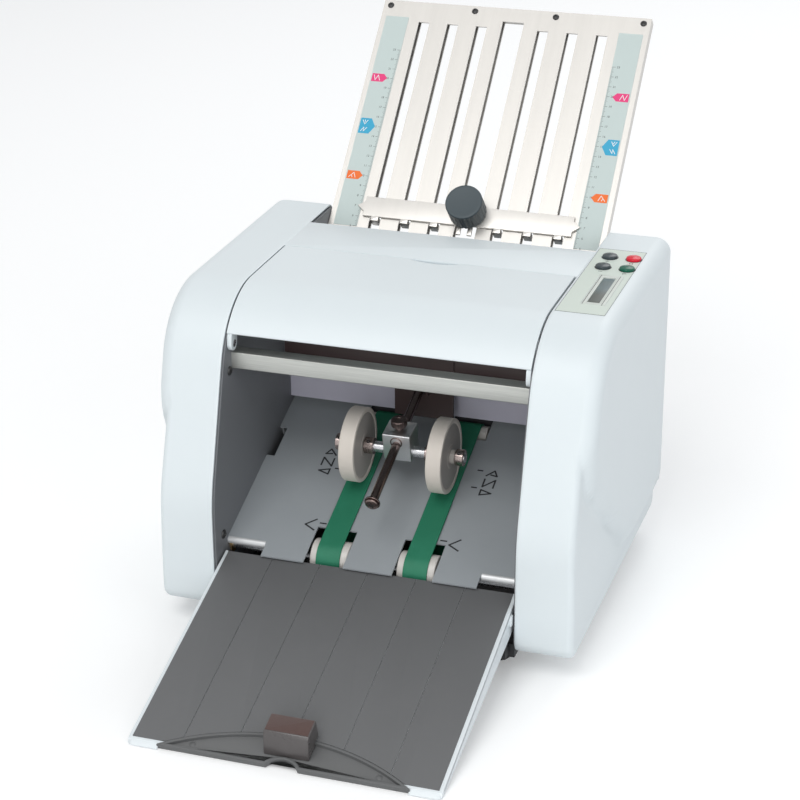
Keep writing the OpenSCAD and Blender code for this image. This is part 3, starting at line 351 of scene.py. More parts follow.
coverPlastic = grainMaterial("coverPlastic", (0.715, 0.775, 0.80), roughness=0.42, drift=0.02, scale=2600.0,
                             depth=0.1, tint=(0.62, 0.67, 0.73), marks=0.08)
framePaint = grainMaterial("framePaint", (0.175, 0.182, 0.196), roughness=0.5, drift=0.12, scale=1500.0,
                           depth=0.2)
platePaint = grainMaterial("platePaint", (0.315, 0.34, 0.36), roughness=0.36, drift=0.08, scale=1500.0,
                           depth=0.15, tint=(0.36, 0.38, 0.40), marks=0.25)
backPaint = grainMaterial("backPaint", (0.50, 0.49, 0.58), roughness=0.4, drift=0.1)
barSteel = brushedMaterial("barSteel", (0.42, 0.43, 0.41), (24, 1500, 1500), roughness=0.4, streak=0.7,
                           metallic=0.7)
# painted highlight: light colour for the sleeve over the delivery plate's rolled ends, which really carry the
# plate's own paint
rollHighlight = brushedMaterial("rollHighlight", (0.62, 0.63, 0.64), (60, 900, 900), roughness=0.35, streak=0.3,
                            metallic=0.3)
turnedSteel = brushedMaterial("turnedSteel", (0.55, 0.56, 0.58), (3000, 300, 300), roughness=0.28, streak=0.2)
bracketPaint = grainMaterial("bracketPaint", (0.045, 0.024, 0.023), roughness=0.45, drift=0.2)
blockAluminium = brushedMaterial("blockAluminium", (0.62, 0.63, 0.64), (2200, 500, 500), roughness=0.34,
                                 streak=0.22)
bushBrass = brushedMaterial("bushBrass", (0.60, 0.42, 0.20), (2000, 400, 400), roughness=0.3)
panPaint = grainMaterial("panPaint", (0.022, 0.023, 0.025), roughness=0.55, drift=0.2)
footRubber = grainMaterial("footRubber", (0.018, 0.018, 0.019), roughness=0.8, drift=0.3)
driveRubber = grainMaterial("driveRubber", (0.02, 0.02, 0.021), roughness=0.7, drift=0.3)
rollerRubber = grainMaterial("rollerRubber", (0.05, 0.05, 0.053), roughness=0.75, drift=0.2, scale=2500.0,
                             depth=0.4)
pulleyPlastic = grainMaterial("pulleyPlastic", (0.60, 0.575, 0.545), roughness=0.35, drift=0.04)
trayPlastic = grainMaterial("trayPlastic", (0.75, 0.80, 0.83), roughness=0.42, drift=0.02, scale=2600.0,
                            depth=0.1)
plateSteel = brushedMaterial("plateSteel", (0.60, 0.585, 0.56), (2400, 60, 60), roughness=0.4, streak=0.1,
                             turn=(-45, 0, 0))
screwBlack = grainMaterial("screwBlack", (0.016, 0.016, 0.017), roughness=0.35, drift=0.2, specular=0.6)
knobPlastic = grainMaterial("knobPlastic", (0.040, 0.058, 0.068), roughness=0.42, drift=0.1, scale=2200.0,
                            depth=0.2)
boardMask = grainMaterial("boardMask", (0.02, 0.13, 0.05), roughness=0.35, drift=0.2)
motorPaint = grainMaterial("motorPaint", (0.18, 0.19, 0.20), roughness=0.4, drift=0.1)
tablePaint = grainMaterial("tablePaint", (0.55, 0.60, 0.64), roughness=0.4, drift=0.03)
guidePlastic = grainMaterial("guidePlastic", (0.03, 0.03, 0.033), roughness=0.5, drift=0.15)
padRubber = grainMaterial("padRubber", (0.08, 0.05, 0.045), roughness=0.85, drift=0.2)
inletPlastic = grainMaterial("inletPlastic", (0.02, 0.02, 0.021), roughness=0.45, drift=0.1)
rockerPlastic = grainMaterial("rockerPlastic", (0.45, 0.02, 0.03), roughness=0.25, drift=0.05, coat=0.3)
buttonGrey = grainMaterial("buttonGrey", (0.045, 0.06, 0.068), roughness=0.2, drift=0.06, specular=0.3)
buttonRed = grainMaterial("buttonRed", (0.70, 0.008, 0.03), roughness=0.2, drift=0.04, specular=0.3)
buttonGreen = grainMaterial("buttonGreen", (0.003, 0.105, 0.062), roughness=0.2, drift=0.05, specular=0.3)
beltRubber = grainMaterial("beltRubber", (0.010, 0.165, 0.088), roughness=0.62, drift=0.08, scale=900.0,
                           depth=0.25, tint=(0.03, 0.25, 0.15), marks=0.35)
darkSteel = brushedMaterial("darkSteel", (0.13, 0.10, 0.095), (2600, 500, 500), roughness=0.34, streak=0.3)
rodSteel = brushedMaterial("rodSteel", (0.20, 0.155, 0.145), (900, 120, 900), roughness=0.24, streak=0.25)
wheelRubber = grainMaterial("wheelRubber", (0.66, 0.61, 0.555), roughness=0.55, drift=0.04, scale=1600.0,
                            depth=0.2, tint=(0.50, 0.46, 0.42), marks=0.12)
wheelFace = grainMaterial("wheelFace", (0.40, 0.375, 0.35), roughness=0.42, drift=0.08, scale=1200.0,
                          depth=0.2, tint=(0.30, 0.28, 0.27), marks=0.2)
collarSteel = brushedMaterial("collarSteel", (0.34, 0.285, 0.27), (2600, 500, 500), roughness=0.26,
                              streak=0.3)
matRubber = grainMaterial("matRubber", (0.122, 0.125, 0.129), roughness=0.62, drift=0.06, scale=1400.0,
                          depth=0.3, tint=(0.14, 0.14, 0.145), marks=0.3)
dishPlastic = grainMaterial("dishPlastic", (0.115, 0.118, 0.12), roughness=0.4, drift=0.1, scale=1800.0,
                            depth=0.15)
stopPlastic = grainMaterial("stopPlastic", (0.085, 0.078, 0.078), roughness=0.28, drift=0.1, scale=1500.0,
                            depth=0.1)
feltBrown = grainMaterial("feltBrown", (0.085, 0.048, 0.042), roughness=0.95, drift=0.3, scale=3000.0,
                          depth=0.8, sheen=0.4)
labelFoil = grainMaterial("labelFoil", (0.56, 0.645, 0.63), roughness=0.35, drift=0.03, scale=900.0,
                          depth=0.05)
overlayFoil = grainMaterial("overlayFoil", (0.62, 0.69, 0.63), roughness=0.4, drift=0.02, scale=2400.0,
                            depth=0.15)
bezelPlastic = grainMaterial("bezelPlastic", (0.60, 0.64, 0.60), roughness=0.35, drift=0.03)
printGrey = grainMaterial("printGrey", (0.075, 0.09, 0.09), roughness=0.5, drift=0.1)
printBlack = grainMaterial("printBlack", (0.018, 0.018, 0.02), roughness=0.5, drift=0.1)
inkWhite = grainMaterial("inkWhite", (0.85, 0.88, 0.88), roughness=0.4, drift=0.03)
arrowInks = {"pink": grainMaterial("inkPink", (0.80, 0.045, 0.21), roughness=0.4, drift=0.05),
             "blue": grainMaterial("inkBlue", (0.035, 0.38, 0.60), roughness=0.4, drift=0.05),
             "orange": grainMaterial("inkOrange", (0.88, 0.165, 0.02), roughness=0.4, drift=0.05)}


# Display glass: dark warm grey in front, with a painted reflection that turns it blue-grey towards the rear,
# and faint cross bands
def makeDisplayGlass():
    material, tree, shader, at = emptyMaterial("displayGlassPaintedReflection")
    y = node(tree, "ShaderNodeSeparateXYZ", None, Vector=at).outputs["Y"]
    share = remap(tree, y, -0.032, 0.034, 0.0, 1.0)
    band = maths(tree, "SINE", maths(tree, "MULTIPLY", y, 210.0))
    share = maths(tree, "MULTIPLY_ADD", band, 0.10, share, clamp=True)
    # painted reflection: the blend towards blue-grey at the rear stands in for the reflection on the glass
    tone = mixColour(tree, share, (0.105, 0.10, 0.078, 1), (0.20, 0.26, 0.285, 1))
    grain = useGroup(tree, grainGroup, Vector=at, Colour=tone, Drift=0.15, Roughness=0.3)
    tree.links.new(grain.outputs["Colour"], shader.inputs["Base Color"])
    tree.links.new(grain.outputs["Roughness"], shader.inputs["Roughness"])
    shader.inputs["Specular IOR Level"].default_value = 0.12
    finishBump(tree, shader, grain.outputs["Height"], 0.03, 0.0001)
    return material


displayGlassPaintedReflection = makeDisplayGlass()
print("materials ready")


# Quads between a grid's neighbours; closed joins the last column to the first, ringed the last row too
def gridFaces(rows, columns, closed=False, ringed=False):
    r, c = np.meshgrid(np.arange(rows if ringed else rows - 1), np.arange(columns if closed else columns - 1),
                       indexing="ij")
    below, after = (r + 1) % rows, (c + 1) % columns
    return np.stack([r * columns + c, r * columns + after, below * columns + after, below * columns + c],
                    axis=-1).reshape(-1, 4)


# Surface of a grid whose rows are closed rings, with a flat face over the first and the last ring
def cappedGrid(grid):
    rows, columns = grid.shape[:2]
    faces = [list(face) for face in gridFaces(rows, columns, closed=True)]
    faces += [list(range(columns))[::-1], list(range((rows - 1) * columns, rows * columns))]
    return grid.reshape(-1, 3), faces


# Turns all faces round if they face inwards: when the sum of area vector times place is below zero
def facingOut(points, faces):
    middle = points.mean(axis=0)
    sense = 0.0
    for size in {len(face) for face in faces}:
        ring = np.array([face for face in faces if len(face) == size])
        corner = points[ring] - middle
        first, second = corner[:, 1:-1] - corner[:, :1], corner[:, 2:] - corner[:, :1]
        sense += (np.cross(first, second) * corner[:, :1]).sum()
    return [face[::-1] for face in faces] if sense < 0 else faces


# Points in millimetres and faces as index rows make a piece that rides on a CAD body
def makePiece(name, points, faces, body, slot, material, smooth=True, sharp=35):
    points = np.asarray(points, float)
    faces = facingOut(points, [list(map(int, face)) for face in faces])
    mesh = bpy.data.meshes.new(name)
    mesh.from_pydata((points * mm).tolist(), [], faces)
    mesh.validate()
    mesh.update()
    if smooth:
        sides = np.empty(len(mesh.polygons), int)
        mesh.polygons.foreach_get("loop_total", sides)
        mesh.polygons.foreach_set("use_smooth", sides <= 4)  # end caps stay flat
        if sharp:
            mesh.set_sharp_from_angle(angle=math.radians(sharp))
    mesh.materials.append(material)
    piece = bpy.data.objects.new(name, mesh)
    bpy.context.scene.collection.objects.link(piece)
    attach(piece, body)
    return piece


# Joins several (points, faces) surfaces into one, each turned to face outwards
def joinSurfaces(surfaces):
    points, faces, count = [], [], 0
    for some, rows in surfaces:
        some = np.asarray(some, float).reshape(-1, 3)
        rows = facingOut(some, [list(map(int, row)) for row in rows])
        points.append(some)
        faces += [[index + count for index in row] for row in rows]
        count += len(some)
    return np.concatenate(points), faces


# Several surfaces as one piece
def makeJoined(name, surfaces, body, slot, material, smooth=True, sharp=35):
    return makePiece(name, *joinSurfaces(surfaces), body, slot, material, smooth, sharp)


# Places points given as (x, along the slope, height over it) in the part's frame
def onSlope(start, slope):
    turn = math.radians(slope)

    def place(points):
        p = np.asarray(points, float)
        return np.stack([p[..., 0], start[0] + p[..., 1] * math.cos(turn) - p[..., 2] * math.sin(turn),
                         start[1] + p[..., 1] * math.sin(turn) + p[..., 2] * math.cos(turn)], axis=-1)
    return place


onDelivery = onSlope((-121.7, 72.6), 20.6)
onTray = onSlope((-131, 64.7), 16.8)
onPlate = onSlope((172, 305), 45)


# A closed outline carried from one level to another, its ends drawn in over a rounded edge of radius r: each
# ring is the outline moved inwards by r(1 - cos a) at a distance r(1 - sin a) from the end
def slabSurface(outline, low, high, edge=0.0, place=None, axes=(0, 1, 2), edgeLow=None, steps=4):
    outline = np.asarray(outline, float)
    edgeLow = edge if edgeLow is None else edgeLow
    rings = []
    if edgeLow:
        for a in np.radians(np.linspace(90, 0, steps + 1)):
            rings.append((edgeLow * (1 - math.cos(a)), low + edgeLow * (1 - math.sin(a))))
    else:
        rings.append((0, low))
    if edge:
        for a in np.radians(np.linspace(0, 90, steps + 1)):
            rings.append((edge * (1 - math.cos(a)), high - edge * (1 - math.sin(a))))
    else:
        rings.append((0, high))
    inward = inwardNormals(outline)
    grid = np.array([np.column_stack([outline + inward * inset, np.full(len(outline), level)])
                     for inset, level in rings])
    points, faces = cappedGrid(grid[..., np.argsort(axes)])
    return (place(points) if place else points), faces


# Unit step inwards at each point of a closed outline, lengthened at corners so that both sides move alike
def inwardNormals(outline):
    after = np.roll(outline, -1, axis=0) - outline
    after = after / np.maximum(np.linalg.norm(after, axis=1, keepdims=True), 1e-9)
    before = np.roll(after, 1, axis=0)
    area = np.sum(outline[:, 0] * np.roll(outline[:, 1], -1) - outline[:, 1] * np.roll(outline[:, 0], -1))
    turned = [np.stack([-d[:, 1], d[:, 0]], axis=1) * np.sign(area) for d in (before, after)]
    middle = turned[0] + turned[1]
    middle = middle / np.maximum(np.linalg.norm(middle, axis=1, keepdims=True), 1e-9)
    return middle / np.clip((middle * turned[1]).sum(axis=1, keepdims=True), 0.35, 1)


# Rectangle outline with round corners
def roundRectangle(x0, x1, y0, y1, r=0.0, steps=6):
    if not r:
        return np.array([[x0, y0], [x1, y0], [x1, y1], [x0, y1]], float)
    corners = [(x1 - r, y1 - r, 0), (x0 + r, y1 - r, 90), (x0 + r, y0 + r, 180), (x1 - r, y0 + r, 270)]
    rows = []
    for cx, cy, start in corners:
        t = np.radians(np.linspace(start, start + 90, steps + 1))
        rows.append(np.stack([cx + r * np.cos(t), cy + r * np.sin(t)], axis=1))
    return np.concatenate(rows)


# A profile of (place along the axis, radius) rows turned round the axis; ribRows * ribs(angle) is taken off
# the radius. A closed profile's last row joins the first, otherwise a face closes each end
def turnedSurface(profile, steps=96, closed=False, ribs=None, ribRows=None):
    profile = np.asarray(profile, float)
    t = np.linspace(0, 2 * math.pi, steps, endpoint=False)
    radius = np.repeat(profile[:, 1:2], steps, axis=1)
    if ribs is not None:
        rows = np.zeros(len(profile)) if ribRows is None else np.asarray(ribRows, float)
        radius = radius - rows[:, None] * ribs(t)[None, :]
    grid = np.stack([np.repeat(profile[:, :1], steps, axis=1), radius * np.cos(t), radius * np.sin(t)],
                    axis=-1)
    if not closed:
        return cappedGrid(grid)
    return grid.reshape(-1, 3), gridFaces(len(profile), steps, closed=True, ringed=True)


# Quarter circle of radius e round a turned profile's outer corner at (x, r), from the end face to the side
def cornerRound(x, r, e):
    return [(x - e + e * math.cos(a), r - e + e * math.sin(a)) for a in np.radians(np.linspace(0, 90, 6))]


# Turned surfaces lie along X; this moves them to an axis at (y, z)
def aboutX(surface, at, x=0.0):
    points, faces = surface
    return points + np.array([x, at[0], at[1]]), faces


# Turned surfaces stood up on a sloping plane: their axis becomes the plane's height
def standing(surface, place, at):
    points, faces = surface
    local = np.stack([points[:, 1] + at[0], points[:, 2] + at[1], points[:, 0] + at[2]], axis=1)
    return place(local), faces


# Turned surfaces laid along a slope: their axis becomes the distance along it
def lying(surface, place, x, height):
    points, faces = surface
    local = np.stack([points[:, 1] + x, points[:, 0], points[:, 2] + height], axis=1)
    return place(local), faces


# Thin raised strokes along a polyline: each stretch is a slab as wide as the pen
def strokeSurfaces(line, pen, low, high, place):
    line = np.asarray(line, float)
    surfaces = []
    for p, q in zip(line[:-1], line[1:]):
        step = (q - p) / np.linalg.norm(q - p)
        side = np.array([-step[1], step[0]]) * pen / 2
        p, q = p - step * pen * 0.35, q + step * pen * 0.35
        surfaces.append(slabSurface([p - side, q - side, q + side, p + side], low, high, place=place))
    return surfaces


# Numbers as thin letters of a given height, set on a plane
def textSurface(words, size, centre, low, high, place):
    curve = bpy.data.curves.new("words", "FONT")
    curve.body = words
    curve.size = size
    curve.align_x, curve.align_y = "CENTER", "CENTER"
    curve.extrude = (high - low) / 2
    curve.resolution_u = 3
    holder = bpy.data.objects.new("words", curve)
    bpy.context.scene.collection.objects.link(holder)
    mesh = holder.to_mesh()
    points = np.empty(len(mesh.vertices) * 3)
    mesh.vertices.foreach_get("co", points)
    points = points.reshape(-1, 3) + np.array([centre[0], centre[1], (low + high) / 2])
    faces = [list(polygon.vertices) for polygon in mesh.polygons]
    holder.to_mesh_clear()
    bpy.data.objects.remove(holder)
    bpy.data.curves.remove(curve)
    return place(points), faces


# Rounds a piece's edges that are sharper than an angle in degrees
def bevelled(piece, width, segments=2, angle=40):
    edges = piece.modifiers.new("edges", "BEVEL")
    edges.width = width * mm
    edges.segments = segments
    edges.limit_method = "ANGLE"
    edges.angle_limit = math.radians(angle)
    return piece


# Vector of a length in a direction in degrees
def cross(direction, distance):
    return np.array([math.cos(math.radians(direction)), math.sin(math.radians(direction))]) * distance


# Centre of a circle of radius r that touches two edges, each [direction, distance]
def cornerCentre(first, second, r):
    a, b = math.radians(first[0]), math.radians(second[0])
    p, q = first[1] - r, second[1] - r
    return np.array([p * math.sin(b) - q * math.sin(a), q * math.cos(a) - p * math.cos(b)]) / math.sin(b - a)


# Closed outline of a convex shape: arcs at its corners and evenly spaced points on its edges
def roundOutline(edges, radii, inset=0.0, arcSteps=16, edgeSteps=24):
    arcs = []
    for i, edge in enumerate(edges):
        after = edges[(i + 1) % len(edges)]
        start = edge[0]
        finish = after[0] if after[0] > start else after[0] + 360
        r = max(radii[i] - inset, 0.8)
        centre = cornerCentre([start, edge[1] - inset], [finish, after[1] - inset], r)
        t = np.radians(np.linspace(start, finish, arcSteps + 1))
        arcs.append(centre + r * np.stack([np.cos(t), np.sin(t)], axis=1))
    runs = []
    for i, arc in enumerate(arcs):
        after = arcs[(i + 1) % len(arcs)]
        share = np.linspace(0, 1, edgeSteps + 1)[1:-1, None]
        runs += [arc, arc[-1] * (1 - share) + after[0] * share]
    return np.concatenate(runs)


# Distance of points from a convex outline with round corners, positive inside
def insideDistance(edges, radii, points):
    normals = np.array([cross(e[0], 1.0) for e in edges])
    spare = np.array([e[1] for e in edges]) - points @ normals.T
    best = spare.min(axis=-1)
    for i in range(len(edges)):
        j = (i + 1) % len(edges)
        finish = edges[j][0] if edges[j][0] > edges[i][0] else edges[j][0] + 360
        centre = cornerCentre([edges[i][0], edges[i][1]], [finish, edges[j][1]], radii[i])
        away = points - centre
        turn = np.degrees(np.arctan2(away[..., 1], away[..., 0])) % 360
        start = edges[i][0] % 360
        inSector = ((turn - start) % 360) <= (finish - edges[i][0])
        fromArc = radii[i] - np.linalg.norm(away, axis=-1)
        best = np.where(inSector, np.minimum(best, fromArc), best)
    return best


coverShape = {"top": 277, "front": 150, "rear": 148, "foot": 20, "lean": 16, "leanStart": 117.6,
              "inner": 127.2, "column": 171, "flare": 4, "flareRun": (61, 263), "bulgeFall": 3,
              "bulge": 182.4, "round": 14, "columnRound": 6, "wall": 3, "bulgeFoot": 44, "diagonal": 230.5,
              "setback": 38.4, "slant": 13, "blend": 1.1, "middle": (10, 150),
              # steps of the inner edge: inset and place outwards
              "innerEdge": ((1.2, 0), (0.35, 0.35), (0, 1.2))}
bodyRadii = [10, 69, 130, 12, 12]
bulgeRadii = [10, 69, 60, 40, 14]


# Edges of a cover's side view, each as direction and distance from the origin
def bodyEdges(s):
    lean = math.radians(s["lean"])
    leanDistance = s["front"] * math.cos(lean) + s["leanStart"] * math.sin(lean)
    return [[0, s["rear"]], [90, s["top"]], [180 - s["lean"], leanDistance], [180, s["front"]],
            [270, -s["foot"]]]


# Edges of the bulge: the body's upper three, a slanted one moved back by more, and its foot
def bulgeEdges(s, more=0.0):
    edges = bodyEdges(s)
    return edges[:3] + [[s["diagonal"], -s["setback"] - more], [270, -s["bulgeFoot"]]]


# How far up the bulge's rounded flank a point lies, 0 at its foot line and 1 on its flat side
def bulgeShare(s, points):
    low, high = np.zeros(points.shape[:-1]), np.ones(points.shape[:-1])
    halvings, levels = 12, 9
    for halving in range(halvings):
        mid = (low + high) / 2
        spare = np.empty_like(mid)
        for k in range(levels):  # the flank's outline changes with the share, so it is tested in steps
            band = (mid >= k / levels) & (mid <= (k + 1) / levels)
            level = (k + 0.5) / levels
            if band.any():
                spare[band] = insideDistance(bulgeEdges(s, s["slant"] * level), bulgeRadii, points[band])
        inside = spare > s["round"] * mid
        low, high = np.where(inside, mid, low), np.where(inside, high, mid)
    return (low + high) / 2


# Distance of a cover's outer face from the middle plane: (a + b + sqrt((a - b)^2 + blend^2)) / 2 of column a
# and bulge b. The column's edge is a quarter circle, of which columnRise gives the share by distance inside
def coverSide(s, points, columnRise):
    full, start = s["flareRun"]
    flare = s["flare"] * np.clip((start - points[..., 1]) / (start - full), 0, 1)
    column = s["column"] - s["columnRound"] + s["columnRound"] * columnRise + flare
    share = bulgeShare(s, points)
    outside = np.minimum(insideDistance(bulgeEdges(s), bulgeRadii, points), 0)
    bulge = s["bulge"] - s["round"] + s["round"] * np.sqrt(1 - (1 - share) ** 2) + s["bulgeFall"] * outside
    return (column + bulge + np.sqrt((column - bulge) ** 2 + s["blend"] ** 2)) / 2


# Rings from the inner edge over the rounded border to the middle of the outer face
def coverGrid(s):
    edges = bodyEdges(s)
    rings, places = [], []
    outline = roundOutline(edges, bodyRadii)
    border = coverSide(s, outline, 0.0)
    for inset, x in s["innerEdge"]:
        rings.append(roundOutline(edges, bodyRadii, inset))
        places.append(np.full(len(outline), s["inner"] + x))
    start = s["inner"] + s["innerEdge"][-1][1]
    for share in np.linspace(0.05, 1, 7):
        rings.append(outline)
        places.append(start + (border - start) * share)
    for angle in np.radians(np.concatenate([np.linspace(0, 64, 18)[1:], np.linspace(70, 90, 4)])):
        inset = s["round"] * (1 - math.cos(angle))
        ring = roundOutline(edges, bodyRadii, inset)
        rings.append(ring)
        places.append(coverSide(s, ring, math.sqrt(1 - max(0, 1 - inset / s["columnRound"]) ** 2)))
    last, middle = rings[-1], np.array(s["middle"], float)
    for share in 1 - np.linspace(0, 1, 70)[1:]:
        ring = middle + (last - middle) * max(share, 0.004)
        rings.append(ring)
        places.append(coverSide(s, ring, 1.0))
    rings, places = np.array(rings), np.array(places)
    return np.concatenate([places[..., None], rings], axis=-1)


# One side cover: an open shell given its wall inwards; sideSign is -1 on the left
def makeCover(name, nodeName, sideSign):
    grid = coverGrid(coverShape)
    rows, columns = grid.shape[:2]
    points = grid.reshape(-1, 3) * np.array([sideSign, 1, 1])
    faces = gridFaces(rows, columns, closed=True)
    if sideSign < 0:
        faces = faces[:, ::-1]
    faces = [list(face) for face in faces] + [list(range((rows - 1) * columns, rows * columns))[::sideSign]]
    piece = makePiece(name, points, faces, "housing", "cover_white", coverPlastic)
    shell = piece.modifiers.new("wall", "SOLIDIFY")
    shell.thickness = coverShape["wall"] * mm
    shell.offset = -1
    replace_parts(piece, nodeName)
    return piece


# Cuts closed surfaces out of a piece: the wall and the cut are worked out once, and the cutter goes
def cutOpenings(piece, surfaces):
    points, faces = joinSurfaces(surfaces)
    mesh = bpy.data.meshes.new("cutter")
    mesh.from_pydata((points * mm).tolist(), [], faces)
    cutter = bpy.data.objects.new("cutter", mesh)
    bpy.context.scene.collection.objects.link(cutter)
    cut = piece.modifiers.new("openings", "BOOLEAN")
    cut.operation = "DIFFERENCE"
    cut.solver = "EXACT"
    cut.object = cutter
    whole = bpy.data.meshes.new_from_object(piece.evaluated_get(bpy.context.evaluated_depsgraph_get()))
    piece.modifiers.clear()
    piece.data = whole
    bpy.data.objects.remove(cutter)
    bpy.data.meshes.remove(mesh)


rearOpenings = {"x": (-160, -134), "inlet": (58, 84), "switch": (92, 118), "y": (138, 152)}
topOpenings = {"display": ((144.9, 164.6), (-32.1, 35.1)), "x": (142.7, 162.9), "y": (53.5, 78.5), "r": 6.5,
               "z": (270, 280)}


# Openings for inlet and switch in the left cover, for display and buttons in the right one
def makeOpenings(left, right):
    s = rearOpenings
    cutOpenings(left, [slabSurface(roundRectangle(*s["x"], *s["y"]), *s[name])
                       for name in ("inlet", "switch")])
    s = topOpenings
    t = np.linspace(0, 2 * math.pi, 48, endpoint=False)
    holes = [slabSurface(np.stack([x + s["r"] * np.cos(t), y + s["r"] * np.sin(t)], axis=1), *s["z"])
             for x in s["x"] for y in s["y"]]
    cutOpenings(right, [slabSurface(roundRectangle(*s["display"][0], *s["display"][1]), *s["z"])] + holes)


makeOpenings(makeCover("leftCoverShell", "left_side_cover", -1),
             makeCover("rightCoverShell", "right_side_cover", 1))
print("covers ready")


# A closed profile in (Y, Z) carried along X through the stations; lower gives how far each point sinks
def alongX(profile, stations, lower=None):
    profile = np.asarray(profile, float)
    x, u = np.meshgrid(np.asarray(stations, float), np.arange(len(profile)), indexing="ij")
    grid = np.stack([x, profile[u, 0], profile[u, 1]], axis=-1)
    if lower is not None:
        grid[..., 2] -= lower(grid[..., 0], grid[..., 1], grid[..., 2])
    return cappedGrid(grid)


# Box between pairs of x, y and z, its corners round and its upper and lower edges drawn in
def boxSurface(x, y, z, edge=0.6, place=None):
    return slabSurface(roundRectangle(x[0], x[1], y[0], y[1], max(edge, 0.3), 3), z[0], z[1], edge, place,
                       steps=3)


lidShape = {"rear": 26, "lip": 247, "half": 125.8, "wall": 3, "pivot": (-103, 238), "ear": 4,
            "scoopX": 6, "scoopHalf": 21, "scoopDeep": 2.1, "scoopReach": 7.5, "lipRound": 1.3, "earR": 6,
            # rest of the ear's outline from its pivot
            "earBack": ((8.6, 20), (5.5, 20), (-1.6, 12), (-5.2, 7.5))}


# Outer curve of the body from the lid's rear edge to its front lip, and back along the wall's inside
def lidProfile(s):
    edges = bodyEdges(coverShape)
    curves = []
    for inset in (0.0, s["wall"]):
        r = bodyRadii[1] - inset
        centre = cornerCentre([edges[1][0], edges[1][1] - inset], [edges[2][0], edges[2][1] - inset], r)
        t = np.radians(np.linspace(90, 164, 60))
        arc = centre + r * np.stack([np.cos(t), np.sin(t)], axis=1)
        flat = np.stack([np.concatenate([np.linspace(s["rear"], s["rear"] - 10, 21),
                                         np.linspace(s["rear"] - 11, arc[0, 0], 10)[:-1]]),
                         np.full(30, arc[0, 1])], axis=1)
        line = np.concatenate([flat, arc])
        keep = line[:, 1] > s["lip"] + s["lipRound"]
        line = line[keep]
        slope = (arc[-1] - arc[-2]) / np.linalg.norm(arc[-1] - arc[-2])
        last = line[-1]
        end = last + slope * (last[1] - s["lip"] - s["lipRound"]) / max(-slope[1], 0.1)
        curves.append(np.concatenate([line, [end]]))
    outer, inner = curves
    middle = (outer[-1] + inner[-1]) / 2
    radius = np.linalg.norm(outer[-1] - inner[-1]) / 2
    start = math.atan2(*(outer[-1] - middle)[::-1])
    t = start + np.linspace(0, math.pi, 9)[1:-1]
    lip = middle + np.stack([np.cos(t), np.sin(t) * s["lipRound"] / radius], axis=1) * radius
    top = coverShape["top"]
    rear = np.array([[s["rear"], top - s["wall"] + 0.4], [s["rear"], top - 0.4]])
    return np.concatenate([outer[1:], lip, inner[::-1], rear])


# Finger scoop cut off by the lid's rear edge: depth (1 - u^2 - v^2)^0.6, with u and v from its middle
def lidScoop(x, y, z):
    s = lidShape
    share = 1 - ((x - s["scoopX"]) / s["scoopHalf"]) ** 2 - ((s["rear"] - y) / s["scoopReach"]) ** 2
    return np.where(z > coverShape["top"] - 1.5, s["scoopDeep"] * np.clip(share, 0, 1) ** 0.6, 0)


# Lid carried across the machine with closer stations at the finger scoop, and an ear on both sides
def makeLid(s):
    fine = np.linspace(s["scoopX"] - s["scoopHalf"] - 1, s["scoopX"] + s["scoopHalf"] + 1, 56)
    half = s["half"]
    stations = np.concatenate([[-half, -half + 0.25, -half + 0.8], np.linspace(-half + 2, fine[0] - 2, 12),
                               fine, np.linspace(fine[-1] + 2, half - 2, 12),
                               [half - 0.8, half - 0.25, half]])
    shell = alongX(lidProfile(s), stations, lidScoop)
    surfaces = [shell]
    t = np.radians(np.linspace(180, 360, 13))
    ear = np.concatenate([np.stack([np.cos(t), np.sin(t)], axis=1) * s["earR"], s["earBack"]]) + s["pivot"]
    for side in (-1, 1):
        x0, x1 = sorted((side * (half - s["ear"]), side * (half - 0.05)))
        surfaces.append(slabSurface(ear, x0, x1, 0.5, axes=(1, 2, 0)))
    piece = makeJoined("topLidShell", surfaces, "lid", "cover_white", coverPlastic, sharp=50)
    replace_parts(piece, "top_lid")
    return piece


makeLid(lidShape)

stripShape = {"front": 26.6, "rear": 89, "half": 127.8, "top": 277, "wall": 3, "under": 125.4, "apron": 14,
              "shelf": 9.6, "shelfDrop": 2.8}


# Rear top strip with its apron at the rear and the shelf that the lid rests on
def makeStrip(s):
    top, low = s["top"], s["top"] - s["wall"]
    surfaces = [boxSurface((-s["half"], s["half"]), (s["front"], s["rear"]), (low, top), 0.7),
                boxSurface((-s["under"], s["under"]), (s["rear"] - 3, s["rear"] - 0.3),
                           (low - s["apron"], low + 1), 0.4),
                boxSurface((-s["under"], s["under"]), (s["front"] - s["shelf"], s["front"] + 2),
                           (low - s["shelfDrop"], low - 0.3), 0.3)]
    piece = makeJoined("rearTopCover", surfaces, "housing", "cover_white", coverPlastic, sharp=50)
    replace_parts(piece, "rear_top_strip")


makeStrip(stripShape)
print("lid and strip ready")


beltShape = {"x": 37.2, "width": 20.4, "sheet": 1.2, "front": (6, 14.5), "rear": (160, 9), "over": 2,
             "gap": 0.3}


